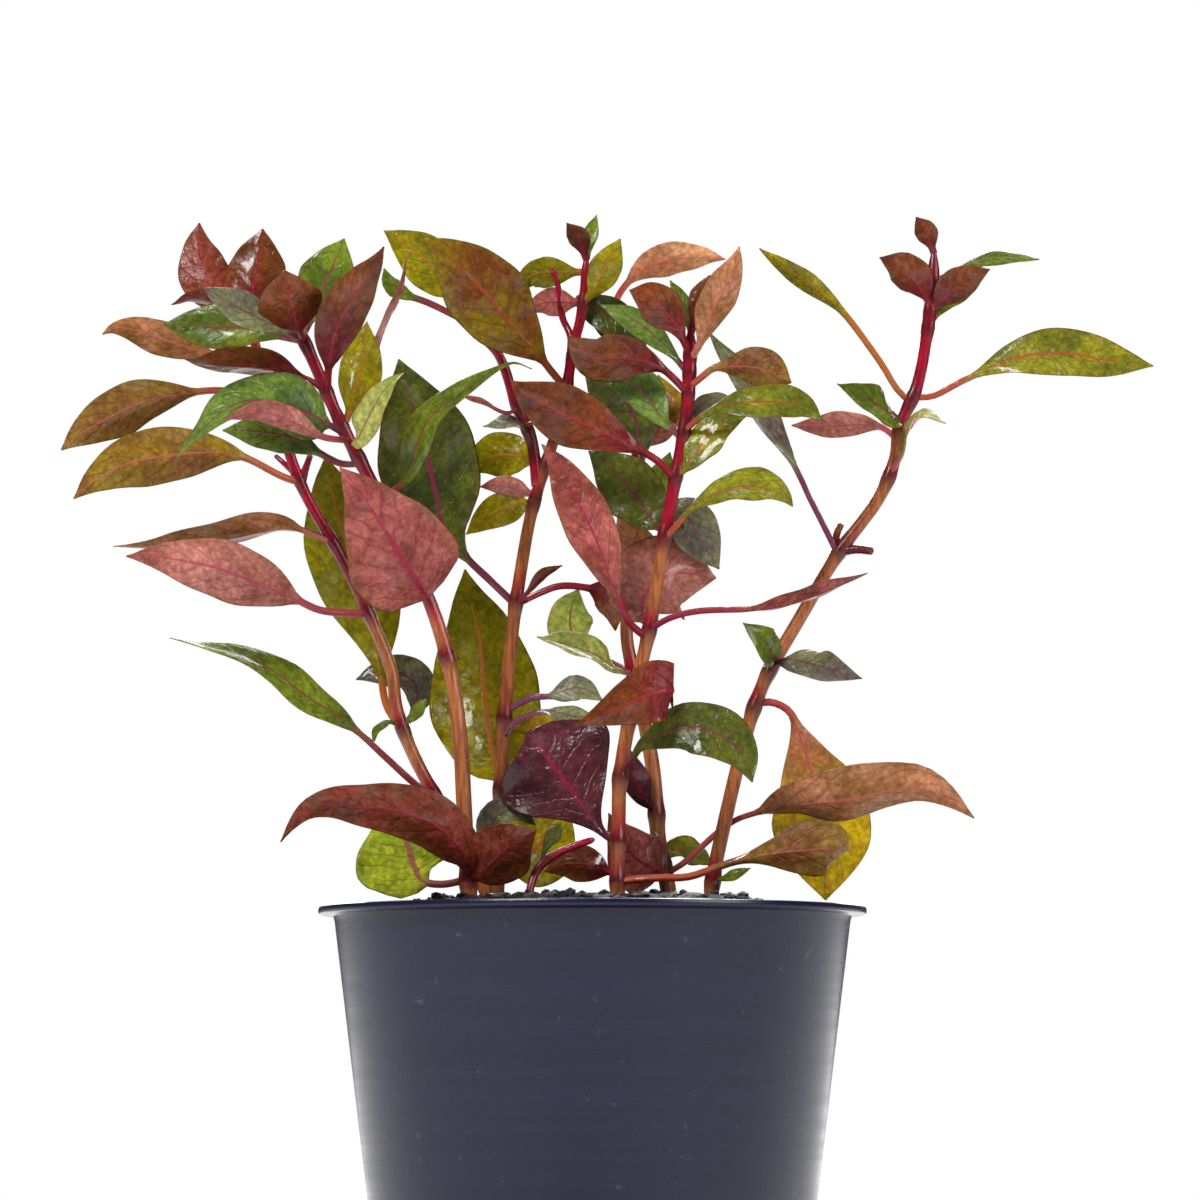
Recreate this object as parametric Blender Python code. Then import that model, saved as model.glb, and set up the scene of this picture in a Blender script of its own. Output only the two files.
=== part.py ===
import math

import bmesh
import bpy
from mathutils import Vector

# Potted mini super red ludwigia: six leafy stems rising from a small round nursery pot.
# The origin is the middle of the pot's underside, +Z is up and -Y is the side seen in front.
# Lengths in the tables are millimetres. Meshes are in metres.

MM = 0.001
GAP = 0.3                 # clearance between neighbouring pieces

# Pot
POT_HEIGHT = 49.7
RIM_RADIUS = 27.4         # outer edge of the flange
RIM_THICKNESS = 0.8
WALL_RADIUS_TOP = 25.8    # outside of the wall, just under the flange
WALL_RADIUS_FOOT = 20.0
WALL_THICKNESS = 1.1
FLOOR_THICKNESS = 1.5
POT_SEGMENTS = 28
DRAIN_HOLES = 5
DRAIN_HOLE_RADIUS = 2.0
DRAIN_RING_RADIUS = 12.0

# Growing medium
SOIL_EDGE_HEIGHT = 48.9   # where it meets the wall
SOIL_MOUND = 1.5          # how much higher its middle stands
SOIL_RELIEF = 0.35        # height of its lumps
SOIL_SEGMENTS = 20
SOIL_RINGS = 4
SOCKET_BOTTOM = 45.2
STEM_BOTTOM = 45.6

# The shape is set out as it looks from the front, from this eye point
VIEW_DISTANCE = 700.0
EYE_HEIGHT = 26.0
EYE_SIDE = 0.75

# Leaf section
BLADE_HALF_THICKNESS = 0.2
BLADE_EDGE_HALF = 0.11
PETIOLE_HALF = 0.4
TIP_HALF_WIDTH = 0.16
PATH_STEPS = 8
STEM_SIDES = 6

COLOURS = {
    "plastic": ((0.022, 0.024, 0.045, 1.0), 0.45),
    "soil": ((0.02, 0.015, 0.012, 1.0), 0.9),
    "stem": ((0.36, 0.075, 0.045, 1.0), 0.4),
    "green": ((0.13, 0.2, 0.03, 1.0), 0.35),
    "mauve": ((0.3, 0.085, 0.065, 1.0), 0.45),
    "gold": ((0.24, 0.17, 0.01, 1.0), 0.45),
}

# Each stem: radius at the foot and at the top, then points (x, z, depth) from the foot up
STEMS = {
    "a": (0.72, 0.5, [(-9.4, 45.6, 4.5), (-10.1, 50.0, 4.5), (-13.8, 57.3, 4.5), (-17.7, 64.5, 4.5),
                      (-19.6, 69.5, 4.5), (-20.5, 74.5, 4.5), (-24.8, 84.0, 4.5), (-29.0, 91.5, 4.5),
                      (-31.3, 98.0, 4.5), (-33.7, 105.5, 4.5), (-34.6, 109.5, 4.5)]),
    "b": (0.8, 0.6, [(-12.3, 45.6, -7.0), (-12.4, 51.5, -7.0), (-12.9, 60.5, -7.0), (-13.3, 67.0, -7.0),
                     (-14.5, 74.5, -7.0), (-16.4, 80.5, -7.0), (-18.9, 85.8, -7.0), (-22.8, 93.5, -7.0),
                     (-25.4, 98.5, -7.0), (-28.7, 106.0, -7.0), (-30.3, 109.0, -7.0)]),
    "c": (0.78, 0.5, [(-9.8, 45.6, 0.0), (-9.6, 51.5, 0.0), (-9.2, 60.5, 0.0), (-8.7, 70.5, 0.0),
                      (-7.7, 80.0, 0.0), (-6.3, 88.5, 0.0), (-4.6, 94.5, 0.0), (-3.0, 99.5, 0.0),
                      (-2.0, 105.5, 0.0), (-0.9, 110.5, 0.0), (-0.6, 115.5, 0.0)]),
    "e": (0.62, 0.45, [(-5.5, 92.0, 0.0), (-6.1, 96.5, 0.0), (-7.7, 100.3, 0.0), (-9.3, 105.0, 0.0),
                       (-11.6, 107.5, 0.0), (-13.0, 109.3, 0.0)]),
    "f": (0.7, 0.62, [(2.5, 45.6, -9.0), (2.5, 51.5, -9.0), (2.6, 57.5, -9.0), (2.8, 63.0, -9.0),
                      (4.2, 71.0, -9.0), (5.7, 77.5, -9.0), (6.9, 85.0, -9.0), (8.0, 91.0, -9.0),
                      (9.2, 97.5, -9.0), (9.7, 102.5, -9.0), (9.9, 108.0, -9.0)]),
    "g": (0.82, 0.5, [(7.7, 45.6, 4.0), (7.6, 51.0, 4.0), (6.6, 56.5, 4.0), (6.0, 64.0, 4.0),
                      (4.5, 71.5, 4.0), (3.4, 77.5, 4.0), (4.1, 84.5, 4.0), (4.6, 92.0, 4.0),
                      (4.1, 99.0, 4.0), (2.6, 106.0, 4.0)]),
    "h": (0.7, 0.6, [(11.8, 45.6, -3.0), (11.9, 51.5, -3.0), (13.3, 58.5, -3.0), (15.1, 66.0, -3.0),
                     (17.3, 72.5, -3.0), (21.0, 79.0, -3.0), (24.6, 85.1, -3.0), (28.6, 90.5, -3.0),
                     (30.3, 94.5, -3.0), (30.9, 98.0, -3.0), (32.6, 102.0, -3.0), (33.6, 107.0, -3.0),
                     (34.2, 112.0, -3.0), (34.4, 116.0, -3.0)]),
}

# Side growth fused to a stem: stem, radius at the foot and at the tip, points (x, z, depth)
BRANCHES = [
    ("c", 0.42, 0.28, [(-2.1, 105.0, 0.2), (-2.2, 107.2, 1.5), (-3.0, 109.0, 2.0), (-3.3, 111.5, 2.0),
                       (-4.0, 114.0, 2.0)]),
    ("a", 0.42, 0.3, [(-29.4, 92.0, 4.5), (-28.8, 93.8, 4.3), (-28.3, 95.2, 4.2)]),
    ("a", 0.4, 0.25, [(-29.7, 93.2, 4.5), (-31.0, 94.3, 5.6), (-31.9, 95.1, 6.0)]),
    ("h", 0.42, 0.34, [(24.6, 85.3, -3.0), (24.5, 87.0, -1.8), (25.0, 88.2, -1.4)]),
    ("h", 0.4, 0.34, [(24.9, 85.4, -3.0), (26.5, 85.6, -3.4), (28.2, 85.4, -3.8)]),
]

# The dead stalk low in the middle
STALK = (0.42, 0.36, [(-6.6, 45.6, -10.5), (-6.4, 50.5, -10.5), (-5.6, 53.3, -9.9), (-4.0, 54.8, -9.4),
                      (-1.3, 56.0, -9.4), (0.2, 56.5, -9.3)])

# Leaves. Each row: stem, tone, full width of the blade, roll at base and tip in degrees, fold in
# degrees, share of the length that is petiole, place of the widest part along the blade, points.
# Roll 0 turns the upper side to the front, 90 turns it up and 180 turns it to the back.
LEAVES = {
    "leaf_a1": ("a", "green", 5, 10, 74, 12, 0.34, 0.42, [
        (-15.9, 60.8, 4.2), (-17.6, 61.9, 2.5), (-20.6, 64.6, 1.2), (-23.4, 67.2, 0.5),
        (-25.6, 68.8, 0.2), (-28.6, 70.7, -0.3), (-31.6, 73.0, -0.7), (-34.8, 74.8, -1.0),
        (-38.8, 75.8, -1.5), (-42.4, 76.7, -2.0)]),
    "leaf_a2": ("a", "green", 9.2, 180, 180, 8, 0.24, 0.54, [
        (-18.9, 66.8, 4.7), (-20.6, 69.8, 7.0), (-21.2, 73.0, 9.0), (-21.8, 77.0, 10.0),
        (-23.2, 82.0, 10.0), (-24.9, 87.0, 9.5), (-26.3, 92.0, 9.0), (-26.8, 95.0, 8.5)]),
    "leaf_a3": ("a", "mauve", 6.1, 170, 178, 10, 0.3, 0.42, [
        (-22.8, 79.2, 4.3), (-27.0, 79.4, 2.0), (-29.6, 80.5, 1.2), (-32.3, 81.7, 0.6),
        (-34.8, 82.7, 0.0), (-38.3, 83.9, -1.0), (-43.3, 84.8, -1.5), (-46.8, 84.9, -2.0)]),
    "leaf_a4": ("a", "mauve", 5.6, 118, 108, 20, 0.16, 0.36, [
        (-25.9, 86.2, 4.3), (-27.5, 86.9, 4.0), (-30.3, 87.8, 3.5), (-33.3, 87.5, 3.0),
        (-38.3, 86.5, 2.5), (-43.3, 86.0, 2.0), (-48.1, 85.9, 1.5)]),
    "leaf_a5": ("a", "gold", 6.0, 165, 160, 10, 0.24, 0.5, [
        (-29.8, 92.6, 4.3), (-31.3, 93.0, 3.5), (-35.3, 95.0, 2.0), (-38.8, 95.4, 1.0),
        (-42.3, 95.1, 0.5), (-46.3, 94.4, 0.0), (-49.8, 92.7, -0.5), (-52.1, 90.7, -1.0)]),
    "leaf_a6": ("a", "mauve", 5.2, 148, 165, 10, 0.34, 0.52, [
        (-32.4, 100.2, 4.3), (-34.3, 101.1, 3.5), (-37.0, 101.6, 2.5), (-39.8, 101.5, 2.0),
        (-44.2, 100.8, 1.0), (-47.4, 99.5, 0.5), (-51.2, 97.4, 0.0), (-53.4, 95.6, -0.5)]),
    "leaf_a7": ("a", "mauve", 3.7, 160, 170, 12, 0.3, 0.44, [
        (-33.5, 104.3, 4.6), (-37.3, 105.1, 5.0), (-41.3, 106.2, 4.5), (-44.3, 107.2, 4.0),
        (-46.6, 107.9, 3.4), (-48.2, 107.9, 3.0), (-49.3, 107.3, 2.5)]),
    "leaf_b1": ("b", "mauve", 5.8, 176, 150, 14, 0.04, 0.36, [
        (-13.0, 52.6, -7.5), (-12.6, 54.4, -9.8), (-14.2, 56.6, -11.4), (-16.8, 58.5, -12.6),
        (-19.9, 59.5, -13.3), (-23.0, 59.7, -13.9), (-26.0, 60.1, -14.3), (-28.4, 59.5, -14.6),
        (-30.0, 58.0, -14.8), (-31.2, 56.2, -15.0)]),
    "leaf_b2": ("b", "mauve", 6.4, 178, 168, 10, 0.06, 0.5, [
        (-11.6, 52.6, -7.5), (-10.8, 53.4, -9.4), (-9.3, 54.9, -11.2), (-7.4, 56.4, -12.8),
        (-5.6, 57.4, -13.8)]),
    "leaf_b3": ("b", "gold", 11.5, 4, 0, 6, 0.34, 0.35, [
        (-12.9, 52.5, -6.8), (-14.9, 52.0, -5.6), (-16.9, 52.3, -5.0), (-17.8, 53.7, -5.0),
        (-18.5, 55.9, -5.4), (-19.4, 58.5, -5.8), (-20.2, 60.6, -6.2)]),
    "leaf_b4": ("b", "mauve", 11.2, 178, 180, 8, 0.03, 0.3, [
        (-16.4, 80.4, -7.3), (-17.4, 82.0, -9.4), (-19.2, 84.8, -10.9), (-21.3, 88.3, -11.9),
        (-23.3, 91.3, -12.6), (-25.4, 93.9, -13.0)]),
    "leaf_b5": ("b", "green", 7.6, 14, 66, 12, 0.14, 0.28, [
        (-25.4, 97.2, -7.3), (-27.3, 98.6, -9.6), (-30.3, 99.9, -11.4), (-33.8, 100.6, -12.0),
        (-36.3, 100.0, -12.5), (-38.6, 98.1, -13.0), (-40.7, 96.2, -13.5), (-42.0, 94.5, -14.0)]),
    "leaf_b6": ("b", "mauve", 5.4, 122, 118, 16, 0.2, 0.5, [
        (-26.6, 101.8, -7.4), (-28.3, 102.6, -8.6), (-30.3, 103.4, -9.0), (-33.3, 104.1, -10.0),
        (-36.3, 104.3, -11.0), (-39.3, 104.5, -11.5), (-41.0, 104.8, -12.0)]),
    "leaf_b7": ("b", "green", 5, 8, 4, 8, 0.18, 0.52, [
        (-29.0, 106.4, -6.6), (-31.3, 107.1, -5.0), (-34.3, 107.9, -3.4), (-38.3, 108.1, -2.4),
        (-43.2, 108.3, -1.6)]),
    "leaf_b8": ("b", "gold", 6.6, 176, 180, 8, 0.14, 0.56, [
        (-29.4, 106.6, -7.6), (-29.8, 108.6, -10.2), (-30.5, 111.0, -12.4), (-31.0, 113.8, -13.8)]),
    "leaf_b9": ("b", "mauve", 5.0, 178, 150, 14, 0.2, 0.45, [
        (-26.5, 101.2, -7.7), (-26.5, 104.2, -10.2), (-25.7, 108.0, -12.0), (-23.9, 111.5, -13.0),
        (-22.0, 114.3, -13.5), (-21.0, 116.2, -13.8)]),
    "leaf_b10": ("b", "green", 3.7, 18, 40, 12, 0.08, 0.45, [
        (-24.2, 95.9, -7.6), (-23.4, 96.9, -9.8), (-22.6, 98.6, -11.3), (-21.6, 100.5, -12.3),
        (-20.2, 102.5, -13.0), (-19.0, 103.4, -13.4)]),
    "leaf_b11": ("b", "green", 4.3, 8, 78, 14, 0.12, 0.38, [
        (-21.3, 90.7, -6.6), (-19.0, 92.3, -7.6), (-17.8, 95.5, -9.0), (-16.3, 98.8, -10.6),
        (-13.3, 101.2, -12.0), (-10.3, 103.3, -12.6), (-8.0, 104.4, -13.0), (-6.1, 103.8, -13.4)]),
    "leaf_c1": ("c", "gold", 11.4, 180, 180, 8, 0.06, 0.42, [
        (-9.3, 61.6, 0.4), (-9.8, 64.0, 3.4), (-10.5, 68.5, 6.0), (-11.0, 73.0, 7.4),
        (-11.4, 77.0, 8.2), (-12.3, 80.5, 8.6), (-12.8, 83.6, 8.8)]),
    "leaf_c2": ("c", "gold", 8.0, 180, 180, 8, 0.12, 0.45, [
        (-9.4, 53.5, 0.4), (-7.8, 54.3, 2.4), (-5.8, 55.4, 3.6), (-4.4, 57.6, 4.2),
        (-2.9, 60.6, 4.6)]),
    "leaf_c3": ("c", "green", 10.2, 0, 0, 6, 0.24, 0.5, [
        (-8.0, 80.4, 0.1), (-10.3, 82.5, 0.6), (-12.5, 84.6, 0.8), (-14.7, 87.3, 0.8),
        (-15.9, 92.0, 0.8), (-17.2, 97.5, 0.4), (-18.5, 101.5, 0.0), (-19.5, 104.8, -0.6)]),
    "leaf_c4": ("c", "mauve", 8.1, 176, 176, 10, 0.2, 0.5, [
        (-2.9, 102.2, -0.4), (-4.0, 103.4, -2.2), (-5.5, 105.3, -3.6), (-8.2, 108.2, -5.0),
        (-10.7, 111.3, -6.4), (-13.0, 113.8, -7.4), (-15.1, 115.8, -8.0), (-16.9, 117.0, -8.4)]),
    "leaf_c5": ("c", "green", 4.2, 14, 16, 8, 0.06, 0.5, [
        (-2.3, 110.9, 2.0), (-1.3, 110.7, 1.5), (1.3, 109.4, 1.0), (3.8, 107.5, 0.5),
        (5.5, 105.8, 0.0)]),
    "leaf_e1": ("e", "gold", 5.4, 176, 172, 10, 0.12, 0.5, [
        (-12.9, 109.4, 0.6), (-14.0, 112.0, 2.6), (-16.2, 114.3, 3.6), (-18.8, 116.4, 4.0),
        (-21.0, 117.8, 4.2)]),
    "leaf_f1": ("f", "mauve", 13, 178, 172, 8, 0.06, 0.7, [
        (2.1, 56.3, -8.5), (0.7, 57.5, -7.4), (-1.6, 60.7, -6.4), (-3.9, 63.9, -5.8), (-5.6, 66.2, -5.3),
        (-6.6, 67.2, -5.0)]),
    "leaf_f2": ("f", "green", 5.7, 18, 12, 10, 0.16, 0.56, [
        (3.0, 62.6, -9.4), (4.0, 64.6, -11.0), (5.0, 66.0, -12.0), (7.0, 67.0, -13.0),
        (9.3, 67.7, -13.5), (11.5, 67.4, -14.0), (13.6, 66.4, -14.3), (15.1, 64.7, -14.6),
        (16.0, 62.2, -15.0)]),
    "leaf_f3": ("f", "mauve", 6.3, 178, 174, 8, 0.36, 0.2, [
        (4.2, 69.0, -9.6), (5.3, 70.2, -11.8), (7.2, 71.1, -13.6), (7.9, 71.4, -15.2),
        (6.0, 71.1, -16.4), (2.2, 69.5, -17.2), (-1.9, 67.8, -18.0)]),
    "leaf_f4": ("f", "mauve", 5.1, 180, 178, 8, 0.24, 0.48, [
        (5.0, 77.2, -9.3), (3.7, 78.2, -10.6), (2.7, 80.3, -11.6), (1.7, 82.9, -12.2),
        (0.4, 86.5, -12.4), (-1.5, 90.5, -12.0), (-3.4, 94.0, -11.4), (-5.1, 96.2, -11.0)]),
    "leaf_f5": ("f", "mauve", 9.4, 178, 176, 10, 0.1, 0.46, [
        (5.6, 77.5, -8.6), (5.0, 79.4, -6.6), (5.7, 81.6, -5.0), (8.3, 83.2, -3.8), (12.4, 82.7, -2.6)]),
    "leaf_f6": ("f", "mauve", 3.8, 112, 108, 14, 0.44, 0.5, [
        (5.8, 77.8, -9.5), (7.8, 78.7, -10.8), (10.8, 79.4, -11.6), (15.8, 79.6, -12.4),
        (18.8, 80.0, -12.8), (22.3, 81.1, -13.2), (25.3, 82.3, -13.6), (27.6, 83.2, -14.0)]),
    "leaf_f7": ("f", "green", 6.2, 0, 0, 8, 0.1, 0.46, [
        (6.9, 87.0, -8.6), (6.1, 88.3, -7.4), (4.9, 90.2, -6.8), (3.3, 92.2, -6.4), (1.5, 94.0, -6.2),
        (-0.4, 95.5, -6.0)]),
    "leaf_f8": ("f", "green", 5.8, 52, 48, 12, 0.2, 0.6, [
        (7.3, 86.8, -9.5), (8.6, 88.2, -10.4), (9.8, 89.6, -10.8), (11.3, 90.6, -11.2),
        (13.3, 91.5, -11.6), (15.3, 91.9, -12.0), (17.8, 91.6, -12.5), (19.3, 90.8, -12.8),
        (20.1, 89.9, -13.0)]),
    "leaf_f9": ("f", "mauve", 6.0, 172, 164, 10, 0.2, 0.58, [
        (8.2, 92.8, -9.4), (6.8, 94.3, -10.4), (5.3, 95.3, -11.2), (3.3, 96.3, -12.2),
        (0.8, 97.5, -12.9), (-1.8, 98.7, -13.4), (-4.3, 100.0, -13.8), (-6.8, 101.5, -14.2),
        (-8.2, 102.6, -14.5)]),
    "leaf_f10": ("f", "green", 4.4, 22, 14, 10, 0.14, 0.5, [
        (8.6, 97.1, -9.1), (7.3, 98.3, -9.2), (6.0, 100.2, -9.0), (4.8, 101.8, -8.8),
        (2.8, 102.7, -8.5), (0.3, 103.3, -8.2)]),
    "leaf_f11": ("f", "green", 4.6, 40, 30, 12, 0.16, 0.6, [
        (9.5, 97.8, -9.5), (10.8, 98.9, -11.2), (12.8, 99.9, -12.6), (15.3, 100.3, -13.2),
        (18.8, 100.4, -13.7), (21.3, 99.9, -13.9), (23.1, 98.6, -14.0)]),
    "leaf_f12": ("f", "mauve", 5.0, 165, 162, 10, 0.22, 0.55, [
        (9.4, 101.3, -9.4), (7.9, 103.1, -10.4), (6.3, 104.2, -11.2), (3.3, 104.9, -12.0),
        (0.3, 104.9, -12.5), (-1.7, 106.3, -12.9), (-2.4, 107.3, -13.1)]),
    "leaf_f13": ("f", "gold", 4.4, 150, 158, 12, 0.24, 0.62, [
        (9.9, 102.0, -9.4), (11.0, 103.0, -10.2), (12.3, 103.9, -10.7), (14.3, 104.1, -11.1),
        (16.3, 104.0, -11.5), (18.1, 103.4, -11.9), (20.0, 102.4, -12.3)]),
    "leaf_f14": ("f", "gold", 4.2, 178, 176, 8, 0.16, 0.58, [
        (9.8, 105.4, -9.4), (9.0, 107.0, -10.4), (8.0, 108.8, -11.2), (6.0, 110.8, -12.0),
        (3.7, 111.8, -12.5)]),
    "leaf_f15": ("f", "mauve", 3.8, 165, 160, 12, 0.16, 0.5, [
        (10.1, 104.6, -9.5), (10.9, 106.6, -10.6), (11.7, 109.0, -11.5), (13.2, 112.0, -12.2),
        (14.3, 114.4, -12.6), (14.8, 116.2, -12.8)]),
    "leaf_f16": ("f", "gold", 6.1, 172, 160, 12, 0.4, 0.72, [
        (3.1, 52.6, -9.4), (6.0, 52.6, -10.0), (9.3, 52.7, -10.2), (11.4, 53.3, -10.0),
        (14.0, 54.2, -10.0), (17.0, 54.9, -10.4), (20.8, 55.4, -10.7), (24.0, 55.6, -10.4),
        (25.6, 55.4, -8.6)]),
    "leaf_g1": ("g", "mauve", 6.8, 180, 180, 8, 0.08, 0.3, [
        (7.1, 53.2, 3.5), (6.0, 53.7, 1.4), (4.4, 54.6, -0.8), (2.9, 56.7, -2.4), (1.6, 59.1, -3.6)]),
    "leaf_g2": ("g", "mauve", 6.8, 146, 140, 20, 0.36, 0.46, [
        (7.9, 53.4, 3.6), (9.5, 54.4, 2.2), (12.2, 56.9, 0.6), (14.5, 58.5, -1.6), (17.8, 59.5, -5.4),
        (20.8, 60.0, -8.2), (25.8, 60.6, -9.8), (30.8, 61.8, -10.5), (33.2, 61.7, -10.8),
        (35.8, 60.5, -11.1), (38.2, 58.6, -11.4)]),
    "leaf_g3": ("g", "green", 4.8, 46, 56, 20, 0.16, 0.5, [
        (3.7, 72.9, 3.5), (2.2, 73.5, 1.9), (0.3, 74.9, 0.4), (-2.6, 75.9, -0.6), (-5.6, 76.8, -1.2)]),
    "leaf_g4": ("g", "green", 6.6, 0, 0, 8, 0.12, 0.5, [
        (4.6, 93.6, 3.5), (5.0, 95.5, 1.8), (4.0, 99.3, 0.6), (2.4, 102.2, -1.0),
        (0.2, 104.8, -2.2), (-1.6, 106.3, -2.8)]),
    "leaf_h1": ("h", "gold", 10.0, 180, 180, 8, 0.16, 0.6, [
        (16.6, 69.7, -2.9), (18.1, 70.2, -2.6), (19.8, 69.2, -2.4), (20.7, 67.0, -2.2),
        (21.5, 64.5, -2.2), (22.7, 60.5, -2.4), (23.2, 55.4, -2.8), (23.3, 50.4, -3.2)]),
    "leaf_h2": ("h", "green", 4.2, 36, 24, 12, 0.08, 0.46, [
        (18.5, 73.6, -3.5), (20.1, 74.4, -5.6), (22.3, 73.9, -7.8), (24.8, 73.2, -9.0), (27.0, 72.6, -9.5)]),
    "leaf_h3": ("h", "green", 3.7, 40, 36, 10, 0.36, 0.5, [
        (24.1, 85.6, -3.5), (23.2, 88.0, -4.0), (21.8, 90.8, -4.4), (20.9, 92.8, -4.6),
        (19.5, 95.5, -4.8), (17.4, 99.0, -5.0), (15.0, 103.0, -5.0), (12.9, 105.8, -5.0),
        (11.6, 107.7, -5.0)]),
    "leaf_h4": ("h", "gold", 2.3, 140, 150, 12, 0.5, 0.5, [
        (31.4, 100.7, -3.1), (30.5, 101.9, -3.5), (29.0, 104.4, -4.0), (25.9, 108.7, -4.5),
        (24.0, 110.7, -4.7), (21.5, 112.6, -5.0), (18.5, 114.7, -5.3), (16.8, 116.0, -5.5)]),
    "leaf_h5": ("h", "green", 5.8, 26, 24, 12, 0.24, 0.54, [
        (33.0, 100.5, -3.1), (34.3, 101.1, -3.3), (36.8, 102.4, -3.5), (39.3, 103.6, -3.8),
        (42.3, 104.8, -4.0), (45.3, 105.3, -4.3), (48.3, 105.3, -4.5), (51.3, 104.7, -4.8),
        (54.3, 104.4, -5.0), (56.4, 104.1, -5.2)]),
    "leaf_h6": ("h", "mauve", 4.0, 162, 158, 12, 0.1, 0.45, [
        (33.7, 110.2, -3.4), (32.7, 112.5, -4.6), (31.0, 114.2, -6.0), (28.9, 115.1, -7.0)]),
}

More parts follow.
